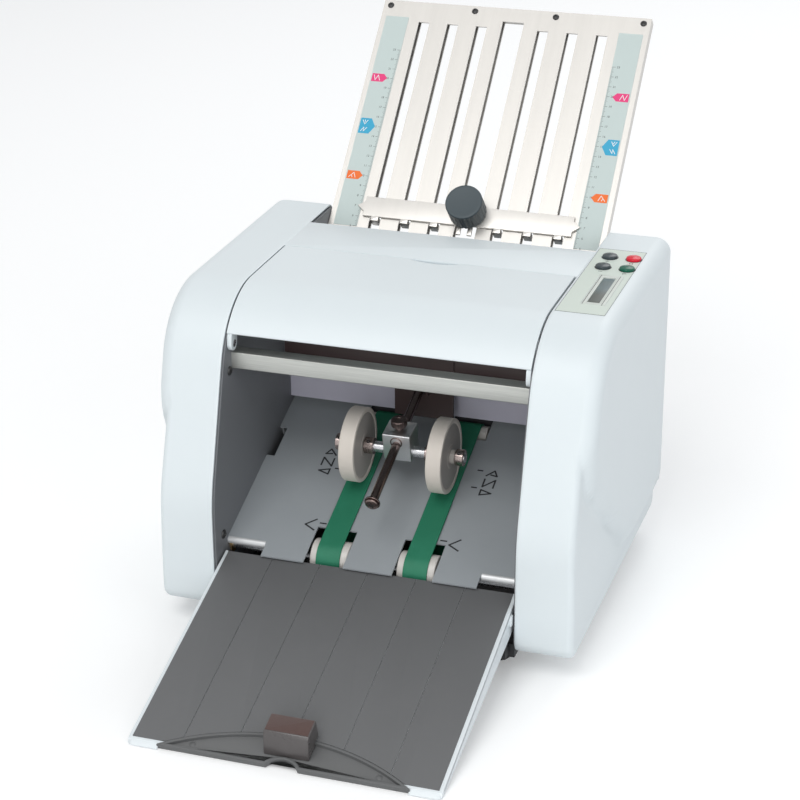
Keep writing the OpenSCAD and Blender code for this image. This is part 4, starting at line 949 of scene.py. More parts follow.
# Band round two drums: a flat section follows both arcs and the straight runs between them, which leave the
# line of centres at the angle acos((r0 - r1) / reach)
def beltSurface(s, x):
    level = s["over"] - s["sheet"] - s["gap"]
    ends = [(along, level - r, r + s["gap"]) for along, r in (s["front"], s["rear"])]
    (s0, h0, r0), (s1, h1, r1) = ends
    reach = math.hypot(s1 - s0, h1 - h0)
    lean = math.atan2(h1 - h0, s1 - s0)
    spread = math.acos((r0 - r1) / reach)
    t0 = np.linspace(lean + spread, lean + 2 * math.pi - spread, 49)
    t1 = np.linspace(lean - spread, lean + spread, 33)
    half, edge = s["width"] / 2, 0.25
    section = [(-half, edge), (-half + edge, 0), (half - edge, 0), (half, edge), (half, s["sheet"] - edge),
               (half - edge, s["sheet"]), (-half + edge, s["sheet"]), (-half, s["sheet"] - edge)]
    rows = []
    for across, out in section:
        arcs = [np.stack([np.full(len(t), x + across), c + (r + out) * np.cos(t), h + (r + out) * np.sin(t)],
                         axis=1)
                for (c, h, r), t in (((s0, h0, r0), t0), ((s1, h1, r1), t1))]
        rows.append(np.concatenate(arcs))
    grid = np.array(rows)
    return onDelivery(grid.reshape(-1, 3)), gridFaces(len(section), grid.shape[1], closed=True, ringed=True)


def makeBelts(s):
    surfaces = [beltSurface(s, x) for x in (-s["x"], s["x"])]
    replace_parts(makeJoined("beltPair", surfaces, "housing", "belt_green", beltRubber), "delivery_belts")


makeBelts(beltShape)

drumShape = {"half": 16, "edge": 1.2, "bore": 4.02, "dish": 1.2}  # the drums take their places from the belts


# A drum's section: bore, end face with a shallow dish, rounded edge and running face
def drumProfile(s, r):
    half, edge = s["half"], s["edge"]
    floor = half - s["dish"]
    face = [(floor, s["bore"]), (floor, s["bore"] + 2.4), (half, s["bore"] + 3), (half, r - edge - 0.6)]
    side = face + cornerRound(half, r, edge)
    return side + [(-x, y) for x, y in side[::-1]]


# Two drums inside the front ends of the belts
def makeFrontDrums(s, belt):
    along, r = belt["front"]
    at = onDelivery(np.array([0, along, belt["over"] - belt["sheet"] - belt["gap"] - r]))
    surfaces = [aboutX(turnedSurface(drumProfile(s, r), 80, closed=True), at[1:], x)
                for x in (-belt["x"], belt["x"])]
    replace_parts(makeJoined("frontDrums", surfaces, "front_delivery", "pulley_white", pulleyPlastic),
                "front_pulleys")


makeFrontDrums(drumShape, beltShape)
print("belts ready")


wheelShape = {"x": 37.4, "half": 6.5, "r": 31.5, "tread": 4.2, "shoulder": 0.9, "bore": 4.06, "hub": 4,
              "along": 91.7, "height": 33.8}
wheelCentre = onDelivery(np.array([0, wheelShape["along"], wheelShape["height"]]))


# Disc of a wheel: flat turned sides with a low hub and a fine groove under the tread band
def wheelDisc(s):
    half, rim = s["half"], s["r"] - s["tread"]
    side = [(half - 0.1, s["bore"]), (half - 0.1, 9.6), (half - 0.4, 10.0), (half - 0.4, rim - 0.5),
            (half - 0.8, rim)]
    hub = [(half + s["hub"], s["bore"]), (half + s["hub"], 5.5), (half + s["hub"] - 0.5, 6), (half - 0.1, 6)]
    return hub + side[1:] + [(-x, y) for x, y in side[::-1]]


# Tread of a wheel: a band with rounded shoulders
def wheelTread(s):
    half, r, rim = s["half"], s["r"], s["r"] - s["tread"]
    crown = [(x, r) for x in np.linspace(half - 2, 0.5, 4)]
    side = [(half - s["shoulder"], rim - 0.02), (half - 0.4, rim + 0.3), (half, rim + 0.8)]
    side += cornerRound(half, r, s["shoulder"]) + crown
    return side + [(-x, y) for x, y in side[::-1]]


# Disc and tread of the wheel on one side
def makeWheel(s, side, sign):
    x = sign * s["x"]
    points, faces = turnedSurface(wheelDisc(s), 120, closed=True)
    disc = aboutX((points * [sign, 1, 1], faces), wheelCentre[1:], x)
    tread = aboutX(turnedSurface(wheelTread(s), 120, closed=True), wheelCentre[1:], x)
    for part, surface, material in (("WheelDisc", disc, wheelFace), ("WheelTread", tread, wheelRubber)):
        piece = makeJoined(side + part, [surface], side + "_stacker_wheel", "wheel_cream", material)
        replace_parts(piece, side + "_wheel")


makeWheel(wheelShape, "left", -1)
makeWheel(wheelShape, "right", 1)

axleShape = {"half": 56.4, "r": 4.6, "tipR": 4, "collarR": 7, "inner": (22.3, 30.6), "outer": (48.2, 55.4),
             "screwR": 1.5, "screwLean": 38, "screwDeep": 5.6}


# Axle with a turned tip at each end; on both sides of each wheel a collar with a grub screw let into it
def makeAxle(s):
    half, r, tip = s["half"], s["r"], s["tipR"]
    inner = wheelShape["x"] - wheelShape["half"] - 0.4
    profile = [(-half, tip - 0.6), (-half + 0.6, tip), (-inner, tip), (-inner, r), (inner, r), (inner, tip),
               (half - 0.6, tip), (half, tip - 0.6)]
    shaft = aboutX(turnedSurface(profile, 48), wheelCentre[1:])
    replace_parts(makeJoined("axleShaft", [shaft], "axle_carrier", "shaft_steel", turnedSteel), "wheel_axle")
    surfaces, screws = [], []
    for side in (-1, 1):
        for low, high, bore in ((*s["inner"], r), (*s["outer"], tip)):
            ring = [(low, bore + 0.02), (low, s["collarR"] - 0.4), (low + 0.4, s["collarR"]),
                    (high - 0.4, s["collarR"]), (high, s["collarR"] - 0.4), (high, bore + 0.02)]
            points, faces = turnedSurface(ring, 64, closed=True)
            surfaces.append(aboutX((points * [side, 1, 1], faces), wheelCentre[1:]))
            pin = [(0, s["screwR"]), (1.55, s["screwR"]), (1.7, s["screwR"] - 0.2), (1.7, 0.7), (1.1, 0.6)]
            points, faces = turnedSurface(pin, 20)
            points = np.stack([points[:, 1] + side * (low + high) / 2, points[:, 2],
                               points[:, 0] + s["screwDeep"]], axis=1)
            lean = math.radians(s["screwLean"])
            turned = np.stack([points[:, 0], points[:, 1] * math.cos(lean) - points[:, 2] * math.sin(lean),
                               points[:, 1] * math.sin(lean) + points[:, 2] * math.cos(lean)], axis=1)
            screws.append((turned + wheelCentre, faces))
    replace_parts(makeJoined("axleCollars", surfaces, "axle_carrier", "shaft_steel", collarSteel), "wheel_axle")
    makeJoined("grubScrews", screws, "axle_carrier", "screw_black", screwBlack)


makeAxle(axleShape)

blockShape = {"size": (24, 22, 25), "along": 95, "height": 41, "lean": 12, "edge": 0.9, "boreR": (4.4, 5.2),
              "boreHeight": 5.6}
blockCentre = onDelivery(np.array([0, blockShape["along"], blockShape["height"]]))
onBlock = onSlope((blockCentre[1], blockCentre[2]), blockShape["lean"])


# Block that rides on the rod, and the bright edge of its bore
def makeBlock(s):
    w, d, h = (v / 2 for v in s["size"])
    surface = slabSurface(roundRectangle(-w, w, -d, d, s["edge"], 4), -h, h, s["edge"], onBlock,
                          edgeLow=s["edge"])
    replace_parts(makeJoined("carrierBlock", [surface], "axle_carrier", "block_aluminium", blockAluminium),
                "wheel_block")
    bore, rim = s["boreR"]
    ring = [(0, bore), (0.5, rim), (0.9, rim), (0.9, bore)]  # bright edge of the bore that the rod runs in
    points, faces = turnedSurface(ring, 40, closed=True)
    local = np.stack([points[:, 1], points[:, 0] - d - 0.75, points[:, 2] + s["boreHeight"]], axis=1)
    makeJoined("boreEdge", [(onBlock(local), faces)], "axle_carrier", "block_aluminium", darkSteel)


makeBlock(blockShape)

thumbShape = {"r": 6.75, "height": 6, "neck": 3.5, "flutes": 26, "fluteDeep": 0.3}


# Knurled head of the thumb screw: its radius dips by |cos(flutes * angle / 2)|
def makeThumbScrew(s):
    top = blockShape["size"][2] / 2 + 0.3
    r, h = s["r"], s["height"]
    profile = [(top - 6, 2), (top, 2), (top, s["neck"]), (top + 3, s["neck"]), (top + 3, r - 0.7),
               (top + 3.6, r), (top + h + 2.2, r), (top + h + 3, r - 0.9), (top + h + 3, 2.6),
               (top + h + 2.5, 2.2), (top + h + 2.5, 0.4)]
    rows = [0, 0, 0, 0, 0, s["fluteDeep"], s["fluteDeep"], 0, 0, 0, 0]
    surface = turnedSurface(profile, 208, ribs=lambda t: np.abs(np.cos(t * s["flutes"] / 2)), ribRows=rows)
    piece = makeJoined("clampScrew", [standing(surface, onBlock, (0, 0, 0))], "clamp_screw", "screw_black",
                       darkSteel)
    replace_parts(piece, "thumb_screw")


makeThumbScrew(thumbShape)

rodShape = {"r": 3.75, "height": 45.5, "front": 15, "rear": 151, "headR": 5.2, "washerR": 6.6, "eye": 156,
            "eyeBore": 2.56, "eyeR": 6, "crossTurns": (25, 115)}


# Guide rod with a washer and a domed cross-head screw on its front end
def makeGuideRod(s):
    f, r = s["front"], s["r"]
    dome = [(f + 1.6 * (1 - math.sin(a)), s["headR"] * math.cos(a) + 0.4)
            for a in np.radians(np.linspace(90, 12, 7))]
    profile = dome + [(f + 2.6, s["headR"]), (f + 2.9, s["headR"] - 0.3), (f + 2.9, s["washerR"] - 0.2),
                      (f + 3.1, s["washerR"]), (f + 4.1, s["washerR"]), (f + 4.3, r), (s["rear"], r)]
    surfaces = [lying(turnedSurface(profile, 48), onDelivery, 0, s["height"])]
    eye = onDelivery(np.array([0, s["eye"], s["height"]]))
    bore, outer = s["eyeBore"], s["eyeR"]
    ring = [(-5, bore), (-5, outer - 0.6), (-4.4, outer), (4.4, outer), (5, outer - 0.6), (5, bore)]
    surfaces.append(aboutX(turnedSurface(ring, 48, closed=True), eye[1:]))
    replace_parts(makeJoined("guideRodShaft", surfaces, "rod", "shaft_steel", rodSteel), "guide_rod")
    slots = []
    for turn in s["crossTurns"]:
        c, n = math.cos(math.radians(turn)), math.sin(math.radians(turn))
        line = np.array([[-2.6 * c, -2.6 * n], [2.6 * c, 2.6 * n]])
        points, faces = joinSurfaces(strokeSurfaces(line, 0.9, 0, 0.5, lambda p: p))
        local = np.stack([points[:, 0], f - 0.08 + points[:, 2], s["height"] + points[:, 1]], axis=1)
        slots.append((onDelivery(local), faces))
    makeJoined("crossHead", slots, "rod", "screw_black", screwBlack)


makeGuideRod(rodShape)
print("stacker ready")


trayShape = {"half": 124.5, "length": 209, "sheet": 2, "wall": 2.5, "matHalf": 121.5, "matSheet": 0.8,
             "seam": 41, "reach": 2, "pivot": (-150, 51), "archHalf": 101, "archRise": 30, "corner": 4,
             "nose": 3.5, "foot": 0.4, "gap": 0.4, "bossR": 5, "pinR": 2.5, "railRun": (-185, -112),
             "railWide": 2.5, "railHook": 4, "railHeights": (-5.4, -3.9, -1.9), "matFront": 2.5,
             "matGap": 0.17,
             # the wall's lower rear edge
             "wallRear": ((-25, -21), (-14, -20.6), (-8, -18), (-3, -13), (0, -8))}
dishShape = {"front": -211, "rim": 2.4, "low": -3.6, "top": 1.2, "floor": -1.9, "notchR": 15, "notchAt": -219,
             "slideHalf": 90, "slide": (-206, -117), "knots": (74, -203)}


# Radius and centre of the arc that ends the mat: (half^2 + rise^2) / (2 rise) for a chord of twice half
def archCircle(s):
    radius = (s["archHalf"] ** 2 + s["archRise"] ** 2) / (2 * s["archRise"])
    return radius, s["archRise"] - radius - s["length"] - s["reach"]


# Height of that arc over each x: centre + sqrt((radius + grow)^2 - x^2)
def archLine(s, x, grow=0.0):
    radius, centre = archCircle(s)
    return centre + np.sqrt(np.maximum((radius + grow) ** 2 - np.asarray(x, float) ** 2, 0))


# Front lip on one side: a nose profile carried along X, drawn in over a quarter circle at the tray's corner
def lipSurface(s, side, inner):
    x0, x1, r = inner, s["half"], s["corner"] + 1
    t = np.radians(np.linspace(0, 90, 12))
    x = np.concatenate([[x0, x0 + 0.3], np.linspace(x0 + 2, x1 - r, 6), x1 - r + r * np.sin(t[1:-1]),
                        [x1 - 0.12]])
    back = np.concatenate([[0.3, 0], np.zeros(6), r * (1 - np.cos(t[1:-1])), [r - 0.4]])
    top, foot = onTray([0, -s["length"], 0])[1:], s["foot"]
    nose = [(2.6, -0.7, 0), (1.0, -0.1, 0.3), (0.2, -0.35, 0.7), (-0.5, -1.0, 0.9),
            (-s["nose"] + 0.3, foot + 1.1, 1), (-s["nose"], foot + 0.6, 1), (-s["nose"] + 0.4, foot, 1),
            (1, foot, 0.2), (2.4, foot + 1.2, 0)]
    rows = []
    for shift, level, share in nose:
        z = np.full(len(x), level if level > 0 else top[1] + level)
        rows.append(np.stack([side * x, top[0] + shift + back * share, z], axis=1))
    return cappedGrid(np.array(rows).transpose(1, 0, 2))


# Tray shell with walls, lips, pivots and rails, and the mat as strips between its seams
def makeTray(s):
    half, front = s["half"], -s["length"]
    radius, centre = archCircle(s)
    reach = math.sqrt((radius + s["gap"]) ** 2 - (front - centre) ** 2)
    x = np.linspace(reach, -reach, 61)
    t = np.radians(np.linspace(180, 270, 7))
    corner = np.stack([-half + s["corner"] * (1 + np.cos(t)), front + s["corner"] * (1 + np.sin(t))], axis=1)
    other = (corner * [-1, 1])[::-1]
    arc = np.stack([x[::-1], archLine(s, x[::-1], s["gap"])], axis=1)
    outline = np.concatenate([[[half, 0], [-half, 0]], corner, arc, other])
    surfaces = [slabSurface(outline, -s["sheet"], 0, 0.6, onTray, edgeLow=0, steps=3)]
    rearTop, frontTop = onTray([0, 0, 0])[1:], onTray([0, front, 0])[1:]
    nose = np.array([frontTop[0] - s["nose"], s["foot"]])
    for side in (-1, 1):
        surfaces.append(lipSurface(s, side, reach + 0.8))
        wall = np.array([rearTop, frontTop + [1, 0], [nose[0] + 2.5, s["foot"] + 0.4],
                         [nose[0] + 9.5, s["foot"]], *[onTray([0, along, height])[1:] for along,
                                                       height in s["wallRear"]]])
        x0, x1 = sorted((side * (half - s["wall"]), side * half))
        surfaces.append(slabSurface(wall, x0, x1, 0.7, axes=(1, 2, 0), edgeLow=0.7, steps=3))
        points, faces = turnedSurface([(0, s["bossR"]), (3.2, s["bossR"]), (3.7, s["bossR"] - 0.5)], 40)
        surfaces.append(aboutX((points * [side, 1, 1], faces), s["pivot"], side * (half - s["wall"])))
        points, faces = turnedSurface([(0, s["pinR"]), (5, s["pinR"])], 32)
        surfaces.append(aboutX((points * [-side, 1, 1], faces), s["pivot"], side * (half - s["wall"] + 0.1)))
        edge, (low, middle, high) = dishShape["slideHalf"] + 0.5, s["railHeights"]
        for inner, top in ((edge, high), (edge - s["railHook"], middle)):
            x = sorted((side * inner, side * (edge + s["railWide"])))
            surfaces.append(boxSurface(x, s["railRun"], (low, top), 0.3, onTray))
    piece = makeJoined("trayShell", surfaces, "tray", "tray_white", trayPlastic, sharp=50)
    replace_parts(piece, "tray_shell")
    strips, gap = [], s["matGap"]
    edges = [-s["matHalf"]] + [s["seam"] * i for i in range(-2, 3)] + [s["matHalf"]]
    for left, right in zip(edges[:-1], edges[1:]):
        x = np.linspace(left + gap, right - gap, 24)
        near = np.maximum(archLine(s, x, s["gap"]), front + s["matFront"])
        outline = np.concatenate([[[right - gap, -1], [left + gap, -1]], np.stack([x, near], axis=1)])
        strips.append(slabSurface(outline, 0, s["matSheet"], 0.22, onTray, edgeLow=0, steps=2))
    piece = makeJoined("trayMat", strips, "tray", "mat_grey", matRubber, sharp=60)
    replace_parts(piece, "tray_mat")


# Dish at the tray's front: rings from its outer outline to its inner one, over the rim and down to the floor
def makeExtension(s, tray):
    radius, centre = archCircle(tray)
    arcPoints, runPoints, notchPoints = 81, 14, 15
    rim, front = s["rim"], s["front"]

    def ring(grow, line, notch):
        reach = min(math.sqrt((radius + grow) ** 2 - (line + (0.6 if grow == 0 else 0) - centre) ** 2),
                    tray["archHalf"])
        x = np.linspace(-reach, reach, arcPoints)
        arc = np.stack([x, archLine(tray, x, grow)], axis=1)
        bite = math.sqrt(notch ** 2 - (line - s["notchAt"]) ** 2)
        turn = math.atan2(line - s["notchAt"], bite)
        t = np.linspace(turn, math.pi - turn, notchPoints)
        hollow = np.stack([notch * np.cos(t), s["notchAt"] + notch * np.sin(t)], axis=1)
        run = np.linspace(reach, bite, runPoints + 1)[:-1]
        right = np.stack([run, np.full(len(run), line)], axis=1)
        return np.concatenate([arc, right, hollow, (right * [-1, 1])[::-1]])
    outer, inner = ring(0, front, s["notchR"]), ring(-rim, front + rim, s["notchR"] + rim)
    path = [(0.06, s["low"]), (0, s["low"] + 0.4), (0, s["top"] - 0.6), (0.08, s["top"] - 0.15),
            (0.25, s["top"]), (0.75, s["top"]), (0.92, s["top"] - 0.15), (1, s["top"] - 0.6),
            (1, s["floor"] + 0.6), (1.08, s["floor"] + 0.15), (1.25, s["floor"])]
    grid = np.array([np.column_stack([outer * (1 - t) + inner * t, np.full(len(outer), h)]) for t, h in path])
    dish = cappedGrid(onTray(grid))
    slide = boxSurface((-s["slideHalf"], s["slideHalf"]), s["slide"], (s["low"], s["low"] + 1.3), 0.3, onTray)
    dome = [(0, 2.6), (0.3, 2.3), (0.6, 1.4), (0.7, 0.3)]
    x, along = s["knots"]
    knots = [standing(turnedSurface(dome, 24), onTray, (side * x, along, s["floor"])) for side in (-1, 1)]
    piece = makeJoined("trayExtensionDish", [dish, slide] + knots, "extension", "extension_dark", dishPlastic,
                       sharp=40)
    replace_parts(piece, "tray_extension")


stopShape = {"half": 18, "rear": -176, "height": 18, "depth": 17, "felt": 0.7}


# Stop block with a slanted front foot and a felt pad on top
def makeStop(s):
    y, h = s["rear"], s["height"] - s["felt"]
    side = np.array([[y, 1.3], [y, h], [y - s["depth"], h], [y - s["depth"] - 2.2, h - 2.4],
                     [y - s["depth"] - 7, -1.85], [y - 8.2, -1.85], [y - 8.2, 1.3]])
    points, faces = slabSurface(side, -s["half"], s["half"], 0.9, axes=(1, 2, 0), edgeLow=0.9)
    piece = makeJoined("stopBlockBody", [(onTray(points), faces)], "extension", "stop_brown", stopPlastic,
                       sharp=40)
    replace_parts(bevelled(piece, 0.5, 2, 35), "stop_block")
    felt = boxSurface((-s["half"] + 0.9, s["half"] - 0.9), (y - s["depth"] + 0.6, y - 0.7),
                      (h - 0.1, s["height"]), 0.35, onTray)
    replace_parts(makeJoined("stopBlockFelt", [felt], "extension", "stop_brown", feltBrown), "stop_block")


makeTray(trayShape)
makeExtension(dishShape, trayShape)
makeStop(stopShape)
print("tray ready")


knobShape = {"r": 16.5, "height": 20.5, "base": 2.9, "at": (0, -37), "flutes": 24, "deep": 0.75, "edge": 1.5}


# Clamping knob: a turned profile whose radius dips by cos(flutes * angle)^0.7 where that cosine is positive
def makeKnob(s):
    base, top, r = s["base"], s["base"] + s["height"], s["r"]
    profile = [(base, 3.1), (base, r - 0.9), (base + 0.9, r), (base + 1.6, r), (top - 3.4, r), (top - 2.2, r)]
    rows = [0, 0, s["deep"], s["deep"], s["deep"]]
    profile += cornerRound(top, r, s["edge"])[::-1]
    profile += [(top - 0.12, r - 3.2), (top - 0.35, r - 7), (top - 0.45, 0.6)]
    rows += [0] * (len(profile) - len(rows))
    surface = turnedSurface(profile, 288, ribs=lambda t: np.clip(np.cos(s["flutes"] * t), 0, 1) ** 0.7,
                            ribRows=rows)
    piece = makeJoined("stopBarKnob", [standing(surface, onPlate, (*s["at"], 0))], "upper_knob", "knob_slate",
                       knobPlastic, sharp=45)
    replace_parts(piece, "upper_stop_knob")


makeKnob(knobShape)

labelShape = {"x": (98.6, 120.5), "top": 0.3, "zero": 11, "first": 5, "last": 23, "pen": 0.28,
              "reach": (3.0, 2.2, 1.3), "tall": 2.9, "numberAt": 6, "flatIn": 1.0, "tipIn": 6.2,
              "arrows": {  # number on the scale, height and length of the head
                  "pink": (20, 8.2, 3.6), "blue": (15, 15.5, 4.6), "orange": (10, 8.2, 3.6)}}


# Scale on both labels: a stroke each millimetre, longer ones each five and ten, and centimetre numbers
def makeScales(s):
    low, high = s["top"] - 0.02, s["top"] + 0.06
    strokes, numbers = [], []
    for side in (-1, 1):
        inner = side * s["x"][0]
        for step in range(s["first"] * 10, s["last"] * 10 + 1):
            along = step - s["zero"] * 10
            reach = s["reach"][0 if step % 10 == 0 else 1 if step % 5 == 0 else 2]
            pen = s["pen"] if step % 10 == 0 else s["pen"] * 0.6
            strokes += strokeSurfaces([(inner + side * 0.3, along), (inner + side * (0.3 + reach), along)],
                                      pen, low, high, onPlate)
        for number in range(s["first"], s["last"] + 1):
            numbers.append(textSurface(str(number), s["tall"],
                                       (inner + side * s["numberAt"], (number - s["zero"]) * 10), low, high,
                                       onPlate))
    makeJoined("scaleMarks", strokes + numbers, "upper_plate", "label_grey", printGrey, smooth=False)


arrowMarks = {  # symbol strokes in arrow units: x from the flat end to the tip, y from the middle up
    "pink": [[(2, 2.6), (4, -2.6)], [(4, -2.6), (6.4, 2.6)], [(6.4, 2.6), (8.6, -2.6)]],
    "blue": [[(2.2, 5.8), (5, 1.6)], [(5, 1.6), (7.6, 5.8)], [(4.4, 5.8), (6, 3.2)],
             [(2.2, -5.8), (5, -1.6)], [(5, -1.6), (5, -5.8)], [(5, -5.8), (8, -1.8)]],
    "orange": [[(2.2, -2.4), (6.6, 2.4)], [(6.6, 2.4), (8.8, -2.4)], [(4.4, 0), (5.6, -2.4)]]}


# Coloured fold arrows on both labels, with their white symbols
def makeArrows(s):
    low, high = s["top"] - 0.02, s["top"] + 0.08
    symbols = []
    for colour, (number, tall, head) in s["arrows"].items():
        along = (number - s["zero"]) * 10
        arrows = []
        for side in (-1, 1):
            flat, tip = side * (s["x"][1] - s["flatIn"]), side * (s["x"][0] + s["tipIn"])
            neck = tip + side * head
            outline = np.array([[flat, along - tall / 2], [neck, along - tall / 2],
                                [neck, along - tall / 2 + 0.01], [tip, along], [neck, along + tall / 2],
                                [flat, along + tall / 2]])
            arrows.append(slabSurface(outline, low, high, place=onPlate))
            for line in arrowMarks[colour]:
                points = [(flat - side * x * 0.92, along + y) for x, y in line]
                symbols += strokeSurfaces(points, 0.55, high - 0.02, high + 0.05, onPlate)
        makeJoined(colour + "Arrows", arrows, "upper_plate", "label_grey", arrowInks[colour], smooth=False)
    makeJoined("arrowSymbols", symbols, "upper_plate", "label_grey", inkWhite, smooth=False)


makeScales(labelShape)
makeArrows(labelShape)
print("scales ready")


markShape = {"pen": 1.45, "low": -0.02, "high": 0.05, "apex": {-1: -66.5, 1: 57.5},
             "open": [[(0, 25.5), (8, 32.5)], [(0, 25.5), (9, 20.5)]],
             "mirrored": [[(49.5, 29), (54.5, 29)], [(58, 92), (62, 92)], [(58, 112), (62, 112)],
                          [(66.4, 90.5), (66.4, 84.5), (75.6, 87.5), (66.4, 90.5)],
                          [(66.4, 103), (66.4, 94), (75.6, 103), (75.6, 94)],
                          [(66.4, 107), (72.38, 113.5), (75.6, 107.5), (70.08, 108.5)]]}


# Printed fold signs on the delivery plate: an open fold by the front edge, and three others beside the wheels
def makePlateMarks(s):
    surfaces = []
    for side in (-1, 1):
        lines = [np.array(line) + [s["apex"][side], 0] for line in s["open"]]
        lines += [np.array(line) * [side, 1] for line in s["mirrored"]]
        for line in lines:
            surfaces += strokeSurfaces(line, s["pen"], s["low"], s["high"], onDelivery)
    makeJoined("plateMarks", surfaces, "housing", "screw_black", printBlack, smooth=False)


makePlateMarks(markShape)

barShape = {"half": 126, "y": (-100, -86), "z": (214.5, 228.5), "edge": 0.9, "back": ((18, 30), (182, 194)),
            "rods": ((140, 80), (-108, 36)), "rodR": 5}


# Square bar in front, and the rear bar and two rods, painted dark as the shade under the lid
def makeBars(s):
    front = slabSurface(roundRectangle(*s["y"], *s["z"], s["edge"], 4), -s["half"], s["half"], 0,
                        axes=(1, 2, 0))
    back = slabSurface(roundRectangle(*s["back"][0], *s["back"][1], s["edge"], 4), -s["half"], s["half"], 0,
                       axes=(1, 2, 0))
    rods = [aboutX(turnedSurface([(-s["half"], s["rodR"]), (s["half"], s["rodR"])], 40), at)
            for at in s["rods"]]
    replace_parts(makeJoined("frontTieBar", [front], "housing", "bar_steel", barSteel), "tie_bars")
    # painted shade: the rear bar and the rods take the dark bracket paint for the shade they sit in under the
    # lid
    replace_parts(makeJoined("innerTieBarsPaintedShade", [back] + rods, "housing", "bar_steel", bracketPaint), "tie_bars")


makeBars(barShape)

screwShape = {"places": ((-105, 214.1), (-130.6, 79)), "inner": 126, "r": 4, "height": 2.2, "socket": 1.3}


# Dome of a button-head screw, (height * sin a, r * cos a) up to an angle in degrees
def buttonDome(s, end):
    return [(s["height"] * math.sin(a), s["r"] * math.cos(a)) for a in np.radians(np.linspace(0, end, 8))]


# Button-head screw: a dome on a short rim with a hexagonal socket sunk in its middle
def makeScrews(s):
    surfaces = []
    profile = [(-2, 2), (0, 2), (0, s["r"])] + buttonDome(s, 62)
    profile += [(s["height"] * 0.9, s["socket"] * 1.15), (0.8, s["socket"]), (0.7, 0.3)]

    def hexagon(t):
        return s["socket"] * (1 - math.cos(math.pi / 6) / np.cos((t % (math.pi / 3)) - math.pi / 6))
    rows = [0] * (len(profile) - 3) + [0, 1, 0]
    for side in (-1, 1):
        for at in s["places"]:
            points, faces = turnedSurface(profile, 48, ribs=hexagon, ribRows=rows)
            surfaces.append(aboutX((points * [-side, 1, 1], faces), at, side * s["inner"]))
    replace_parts(makeJoined("frameButtonScrews", surfaces, "housing", "screw_black", screwBlack),
                "frame_screws")


makeScrews(screwShape)

backSheetShape = {"half": 125.4, "s": (-144, -90, 161.5, 172), "sheet": (-9.4, -7.9), "under": -1.5,
                  "wall": 2.9, "head": 9, "slots": (28.7, 56.05, 83.4), "slotHalf": 5.15, "middleHalf": 10}


# Sheet with slots: cells between the lines xs and ys, every second one of the middle row open; each filled
# cell has a face above and below, and each border between a filled and an open cell has a wall
def slottedSheet(xs, ys, low, high, place):
    x, y = np.meshgrid(xs, ys)
    layer = np.stack([x, y, np.zeros_like(x)], axis=-1).reshape(-1, 3)
    points = np.concatenate([layer + [0, 0, low], layer + [0, 0, high]])
    filled = np.pad(np.ones((len(ys) - 1, len(xs) - 1), bool), 1)
    filled[2, 2:-1:2] = False
    corner, above = np.arange(x.size).reshape(x.shape), x.size
    cells = gridFaces(*x.shape)[filled[1:-1, 1:-1].ravel()]
    faces = [cells + above, cells[:, ::-1]]
    for p, q, inside, outside in ((corner[:, :-1], corner[:, 1:], filled[1:, 1:-1], filled[:-1, 1:-1]),
                                  (corner[1:], corner[:-1], filled[1:-1, 1:], filled[1:-1, :-1])):
        wall = np.stack([p, q, q + above, p + above], axis=-1)
        faces += [wall[inside & ~outside], wall[outside & ~inside][:, ::-1]]
    return place(points), np.concatenate(faces)


# Back sheet of the upper plate: its slots reach past those of the front sheet, so no edge shows behind them
def makeBackSheet(s):
    half, (low, high), run = s["half"], s["sheet"], (s["s"][0], s["s"][-1])
    edges = [-s["middleHalf"], s["middleHalf"]]
    for x in s["slots"]:
        edges += [x - s["slotHalf"], x + s["slotHalf"], -x - s["slotHalf"], -x + s["slotHalf"]]
    surfaces = [slottedSheet(np.array([-half, *sorted(edges), half]), np.array(s["s"]), low, high, onPlate)]
    for x0, x1 in ((-half, -half + s["wall"]), (half - s["wall"], half)):
        surfaces.append(boxSurface((x0, x1), run, (high - 0.3, s["under"]), 0.3, onPlate))
    surfaces.append(boxSurface((-half + 1, half - 1), (run[1] - s["head"], run[1]), (high - 0.3, s["under"]),
                               0.3, onPlate))
    piece = makeJoined("plateBackSheet", surfaces, "upper_plate", "sheet_steel", plateSteel, smooth=False)
    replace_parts(piece, "upper_plate_back_sheet")


makeBackSheet(backSheetShape)

stopBarShape = {"body": 95, "tip": 101.5, "s": (-50, -31), "h": (0.6, 2.6), "stud": (0, -37), "studR": 3,
                "studTop": 21, "teeth": (28.7, 56.05, 83.4), "toothHalf": 3.5, "toothLow": -7.6,
                "toothOut": 4, "prong": (3, 7), "prongOut": 9, "tongueHalf": 9.7, "tongueLow": -1.5}


# Stop bar across the upper plate: short arrow ends, a tooth down each slot and two prongs by the middle
def makeStopBar(s):
    (low, high), (under, face) = s["s"], s["h"]
    middle = (low + high) / 2
    outline = [(s["body"], low), (s["body"], middle - 5), (s["tip"], middle), (s["body"], middle + 5),
               (s["body"], high)]
    outline = np.array(outline + [(-x, y) for x, y in outline[::-1]])
    surfaces = [slabSurface(outline, under, face, 0.3, onPlate)]
    for x in [side * tooth for tooth in s["teeth"] for side in (-1, 1)]:
        surfaces.append(boxSurface((x - s["toothHalf"], x + s["toothHalf"]), (low - s["toothOut"], low + 0.6),
                                   (s["toothLow"], face), 0.3, onPlate))
    for side in (-1, 1):
        x = sorted(side * edge for edge in s["prong"])
        surfaces.append(boxSurface(x, (low - s["prongOut"], low + 0.6), (under, face), 0.3, onPlate))
    surfaces.append(boxSurface((-s["tongueHalf"], s["tongueHalf"]), (low + 3, high - 4),
                               (s["tongueLow"], under + 0.1), 0.3, onPlate))
    surfaces.append(standing(turnedSurface([(under, s["studR"]), (s["studTop"], s["studR"])], 40), onPlate,
                             (*s["stud"], 0)))
    piece = makeJoined("stopBarSheet", surfaces, "upper_stop", "sheet_steel", plateSteel)
    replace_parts(piece, "upper_stop_bar")


makeStopBar(stopBarShape)

rollShape = {"x": (92.4, 125.4), "r": 3.05, "height": -3}
